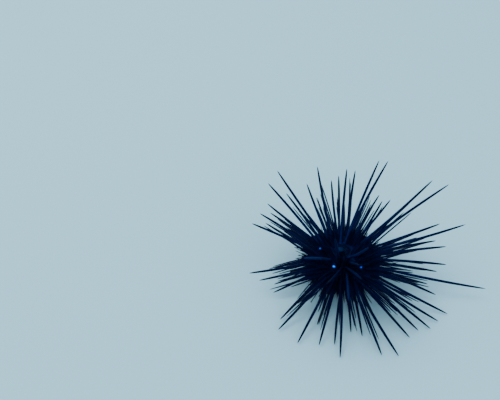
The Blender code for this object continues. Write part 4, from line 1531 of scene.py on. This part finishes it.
# %% [markdown]
# The vent is a soft bulb in the middle of the disc that leans out a little. It is the palest part of the
# skin. Rings along a leaning line make it, folded in at the top, with low wrinkles along and round it.

# %% The vent
# Shares of the vent's radius, height and lean from its foot to the hole in its head
VENT_SHARES = (
    (0.95, -0.08, 0), (0.8, 0.05, 0.02), (0.78, 0.22, 0.14), (0.94, 0.4, 0.34),
    (1.12, 0.56, 0.52), (1.2, 0.68, 0.66), (1.14, 0.8, 0.79), (0.96, 0.91, 0.9),
    (0.7, 0.98, 0.97), (0.4, 1.01, 1), (0.18, 1, 1), (0.1, 0.9, 1),
)
VENT_RINGS = 44
VENT_SIDES = 40
VENT_FOLDS = 10
VENT_FOLD_SHARE = 0.035


def vent_mesh():
    stations = np.linspace(0, 1, len(VENT_SHARES))
    columns = np.array(VENT_SHARES).T
    lean_way = np.array((math.cos(VENT_BEARING), math.sin(VENT_BEARING)))
    vertices, folds = [], []
    for ring in range(VENT_RINGS):
        radius, height, lean = [np.interp(ring / (VENT_RINGS - 1), stations, column) for column in columns]
        x, y = lean_way * VENT_LEAN * lean
        for cosine, sine, level in circle(VENT_SIDES, 1, VENT_BASE + VENT_HEIGHT * height):
            a = math.atan2(sine, cosine)
            fold = math.cos(a * VENT_FOLDS) * min(1, height * 2) * (1 if height < 0.97 else 0.4)
            fold += 0.5 * math.cos(height * 40 + math.sin(a * 3)) * (1 if height < 0.85 else 0.3)
            r = VENT_RADIUS * radius * (1 + VENT_FOLD_SHARE * fold)
            vertices.append((x + r * cosine, y + r * sine, level))
            folds.append(0.5 + 0.33 * fold)
    mesh = new_mesh("vent", vertices, ring_faces(VENT_RINGS, VENT_SIDES), fold=folds)
    mesh.shade_smooth()
    return mesh


def vent_paint():
    p = Paint("vent_skin", 0.5, Specular_IOR_Level=0.1, Specular_Tint=(0.15, 0.5, 1, 1))
    pale = p.ramp(p.noise(900.0, 4.0), (0.3, 0.0006, 0.007, 0.038), (0.55, 0.0010, 0.013, 0.062),
                  (0.8, 0.0018, 0.020, 0.088))
    p.link(p.mix(p.math("MULTIPLY", p.attribute("fold"), 0.5), pale, (0.0005, 0.004, 0.022)), "Base Color")
    p.bump(p.noise(1700.0, 3.0), 0.4, 0.2 * MM)
    return p.material


add_piece("vent_bulb", vent_mesh(), ["vent"], vent_paint())

# %% [markdown]
# Feet run in double rows down the narrow sectors. They are soft, dark tubes that sway, and those near the
# mouth end in small suckers. The sweep's flare makes the sucker, and a sine along the guide makes the sway.

# %% Tube feet
FOOT_ROWS = 26
FOOT_COLUMNS = (-0.86, -0.7, 0.7, 0.86)
FOOT_COLUMN_SPREAD = 0.04
FOOT_LATITUDES = (64, -60)
FOOT_RADIUS = 0.32 * MM
FOOT_LENGTHS = (5 * MM, 11 * MM)
FOOT_POINTS = 10
FOOT_SINK = 0.5 * MM
FOOT_SWAY = 0.09
FOOT_WAVES = 4
FOOT_WANDER = 0.3
FOOT_FLOOR = 1 * MM


def random_vector(rng, most):
    return Vector([rng.uniform(-most, most) for _ in range(3)])


def foot_line(azimuth, latitude, rng):
    root = shell_point(azimuth, latitude)
    outward = (shell_normal(azimuth, latitude) + random_vector(rng, FOOT_WANDER)).normalized()
    length = rng.uniform(*FOOT_LENGTHS)
    sway = outward.orthogonal().normalized()
    sway.rotate(Matrix.Rotation(rng.uniform(0, math.tau), 3, outward))
    phase = rng.uniform(0, math.tau)
    points = []
    for k in range(FOOT_POINTS):
        share = k / (FOOT_POINTS - 1)
        bend = sway * math.sin(share * FOOT_WAVES + phase) * length * FOOT_SWAY * share
        point = root + outward * (length * share - FOOT_SINK) + bend
        point.z = max(point.z, FOOT_FLOOR)
        points.append(point)
    return points


def feet_paint():
    p = Paint("tube_feet", 0.5, Specular_IOR_Level=0.1, Specular_Tint=(0.2, 0.5, 1, 1))
    along = p.attribute("along")
    p.link(p.ramp(along, (0, 0.0003, 0.0012, 0.012), (0.8, 0.0006, 0.0020, 0.020),
                  (0.96, 0.0012, 0.0036, 0.030)), "Base Color")
    p.bump(p.math("SINE", p.math("MULTIPLY", along, 150.0)), 0.3, 0.08 * MM)
    return p.material


def foot_lines():
    rng = random.Random(SEED + 4)
    first, last = FOOT_LATITUDES
    lines = []
    for name, middle, half, _ in sector_places():
        if name.startswith("wide"):
            continue
        for row in range(FOOT_ROWS):
            latitude = math.radians(first + (last - first) * row / FOOT_ROWS)
            for column in FOOT_COLUMNS:
                azimuth = middle + (column + rng.uniform(-FOOT_COLUMN_SPREAD, FOOT_COLUMN_SPREAD)) * half
                lines.append((foot_line(azimuth, latitude, rng), FOOT_RADIUS, rng.random()))
    return lines


soft_dark = feet_paint()
feet_mesh = swept("tube_feet", foot_lines(), Sides=5, Taper=0.2, Tip=0.45, Flare=0.7, Material=soft_dark)
add_piece("tube_feet", feet_mesh)

# %% [markdown]
# Among the spines stand tiny stalked pincers, which keep the skin clean. Each has a stalk and three jaws
# that close to a bud. One is modelled, and the scatter sets it on the skin with its own size and seed.

# %% Stalked pincers
PINCER_LENGTHS = (3.5 * MM, 5 * MM)
PINCER_RADIUS = 0.28 * MM
PINCER_SPACING = 5 * MM
STALK_SIDES = 6
# Height and radius of each ring of the stalk, and how far out, aside and high the points of a jaw are
STALK_RINGS = ((0, 0.9), (0.55, 0.55), (0.72, 0.6), (0.76, 1.6))
JAW_POINTS = ((0.2, -1.2, 0.74), (0.2, 1.2, 0.74), (1.9, 0, 0.82), (0.15, 0, 1.0))
JAW_FACES = ((1, 0, 3), (2, 1, 3), (0, 2, 3), (0, 1, 2))


def pincer_mesh():
    """A stalk and three jaws."""
    vertices = []
    for height, radius in STALK_RINGS:
        vertices += circle(STALK_SIDES, radius, height)
    faces = ring_faces(len(STALK_RINGS), STALK_SIDES)
    for cosine, sine, _ in circle(3, 1, 0):
        faces += [tuple(len(vertices) + k for k in face) for face in JAW_FACES]
        vertices += [(x * cosine - y * sine, x * sine + y * cosine, z) for x, y, z in JAW_POINTS]
    return small_model("pincer", vertices, faces)


add_scattered("pincers", pincer_mesh(), "dark_skin", Spacing=PINCER_SPACING, Shortest=PINCER_LENGTHS[0],
              Longest=PINCER_LENGTHS[1], Radius=PINCER_RADIUS, Seed=5, Material=soft_dark)

# %% [markdown]
# Below, ten bushy gills hang from the rim of the mouth skin, and ten thick feet stand near the lips. Each
# gill is a stem that forks into lobes. The same sweep makes both.

# %% Gills and mouth feet
GILL_LENGTH = 3.2 * MM
GILL_BRANCHES = 7
GILL_SPREAD = 0.045
GILL_FORKS = 4
GILL_RADIUS = 0.4 * MM
GILL_INSET = 1.3 * MM
GILL_DROP = 0.2 * MM
GILL_LEAN = 0.4
GILL_LENGTH_SHARES = (0.8, 1.1)
LOBE_LENGTH = 1.3 * MM
LOBE_RADIUS = 0.28 * MM
MOUTH_FOOT_LENGTH = 3.2 * MM
MOUTH_FOOT_RADIUS = 0.45 * MM
MOUTH_FOOT_TURN = 0.16
MOUTH_FOOT_OUT = 2 * MM
MOUTH_FOOT_SINK = 0.4 * MM


def ring_place(bearing, radius, height):
    """A point round the axis, and the way out from the axis there."""
    out = Vector((math.cos(bearing), math.sin(bearing), 0))
    return out * radius + Vector((0, 0, height)), out


def bent_line(root, aim, droop, length, points=8):
    """Guide points that start along the aim and bend towards the droop."""
    shares = [k / (points - 1) for k in range(points)]
    return [root + (aim + droop * share).normalized() * length * share for share in shares]


def gill_lines(bearing, rng):
    lines = []
    for branch in range(GILL_BRANCHES):
        turn = bearing + (branch - (GILL_BRANCHES - 1) / 2) * GILL_SPREAD
        root, out = ring_place(turn, MOUTH_RADIUS - GILL_INSET, MOUTH_RIM - GILL_DROP)
        aim = (out * GILL_LEAN - Vector((0, 0, 1))).normalized()
        stem = bent_line(root, aim, out * GILL_LEAN, GILL_LENGTH * rng.uniform(*GILL_LENGTH_SHARES))
        lines.append((stem, GILL_RADIUS, rng.random()))
        for fork in range(GILL_FORKS):
            aside = (random_vector(rng, 1) * 0.9 + aim * 0.8).normalized()
            lobe = bent_line(stem[3 + fork], aside, Vector(), LOBE_LENGTH, 5)
            lines.append((lobe, LOBE_RADIUS, rng.random()))
    return lines


def mouth_foot_line(bearing):
    root, out = ring_place(bearing, THROAT_RADIUS + MOUTH_FOOT_OUT, MOUTH_RIM - MOUTH_BULGE + MOUTH_FOOT_SINK)
    aim = (out * 0.25 - Vector((0, 0, 1))).normalized()
    return bent_line(root, aim, out * 0.3, MOUTH_FOOT_LENGTH, 12)


def gill_paint():
    p = Paint("gill_skin", 0.4, Coat_Weight=0.3, Coat_Roughness=0.2)
    p.link(p.ramp(p.attribute("along"), (0, 0.004, 0.004, 0.010), (1, 0.036, 0.022, 0.034)), "Base Color")
    return p.material


def make_mouth_pieces():
    rng = random.Random(SEED + 5)
    gills, feet = [], []
    for index in range(SECTORS):
        wide = sector_bearing(index)
        for side in (-1, 1):
            gills += gill_lines(wide + side * WIDE_HALF, rng)
            foot = mouth_foot_line(wide + math.pi / SECTORS + side * MOUTH_FOOT_TURN)
            feet.append((foot, MOUTH_FOOT_RADIUS, rng.random()))
    gill_mesh = swept("gills", gills, Sides=6, Taper=0.2, Tip=0.5, Flare=0.4, Material=gill_paint())
    add_piece("gills", gill_mesh)
    foot_mesh = swept("mouth_feet", feet, Sides=10, Taper=0.15, Tip=0.6, Flare=0.8, Material=soft_dark)
    add_piece("mouth_feet", foot_mesh)


make_mouth_pieces()

# %% [markdown]
# Five teeth meet in the middle of the mouth. Each is a curved white strip with a keel behind it, ground to
# a chisel point. A section is moved along a curve that leans in towards the tip.

# %% Teeth
TOOTH_SHOWS = 1.6 * MM
TOOTH_STANDS = 1.3 * MM
TOOTH_RINGS = 16
TOOTH_INNER = (1.05 * MM, 0.5 * MM)
TOOTH_DEEP = (0.12 * MM, 1.7 * MM)
TOOTH_HALF = (0.05 * MM, 0.85 * MM)
# One side of the section, from the blade to the keel: shares of its depth and of its half width
TOOTH_SIDE = ((0.1, 0.75), (0.3, 1), (0.5, 0.55), (1, 0.18))


def tooth_mesh(name, bearing):
    lips = MOUTH_RIM - MOUTH_BULGE
    top, tip = lips + THROAT_DEPTH - TOOTH_STANDS, lips - TOOTH_SHOWS
    outline = [(-0.15, 0), *TOOTH_SIDE, *[(deep, -wide) for deep, wide in reversed(TOOTH_SIDE)]]
    vertices = []
    for ring in range(TOOTH_RINGS):
        share = ring / (TOOTH_RINGS - 1)
        inner = TOOTH_INNER[0] + (TOOTH_INNER[1] - TOOTH_INNER[0]) * math.sin(share * math.pi / 2)
        place, out = ring_place(bearing, inner, top + (tip - top) * share)
        side = Vector((-out.y, out.x, 0))
        depth = TOOTH_DEEP[1] * (1 - share**3) + TOOTH_DEEP[0]
        half = TOOTH_HALF[1] * (1 - share**5) + TOOTH_HALF[0]
        vertices += [place + out * depth * deep + side * half * wide for deep, wide in outline]
    mesh = new_mesh(name, vertices, ring_faces(TOOTH_RINGS, len(outline)))
    mesh.shade_smooth()
    mesh.set_sharp_from_angle(angle=math.radians(40))
    return mesh


def tooth_paint():
    p = Paint("teeth", 0.3, Coat_Weight=0.3, Coat_Roughness=0.15, Subsurface_Weight=0.1,
              Subsurface_Scale=0.001)
    p.link(p.ramp(p.noise(1400.0, 4.0), (0.3, 0.55, 0.52, 0.42), (0.7, 0.80, 0.78, 0.70)), "Base Color")
    p.bump(p.noise(2600.0, 2.0), 0.25, 0.08 * MM)
    return p.material


ivory = tooth_paint()
for index in range(SECTORS):
    name = f"tooth_{index + 1}"
    add_piece(f"{name}_fine", tooth_mesh(f"{name}_fine", sector_bearing(index)), [name], ivory)

# %% [markdown]
# Last, the faces of every piece are checked to point outwards, and the number of pieces and of their
# triangles is printed.

# %% Finish
def volume_of(mesh):
    """The signed volume of a mesh, which is negative where its faces point inwards."""
    mesh.calc_loop_triangles()
    points = np.array([v.co for v in mesh.vertices])
    corners = points[np.array([t.vertices[:] for t in mesh.loop_triangles])]
    return float(np.einsum("ij,ij->i", corners[:, 0], np.cross(corners[:, 1], corners[:, 2])).sum() / 6)


for piece in pieces:
    if volume_of(piece.data) < 0:
        print(piece.name, "faces inwards")
print("pieces:", len(pieces), "triangles:", sum(triangle_count(piece.data) for piece in pieces))
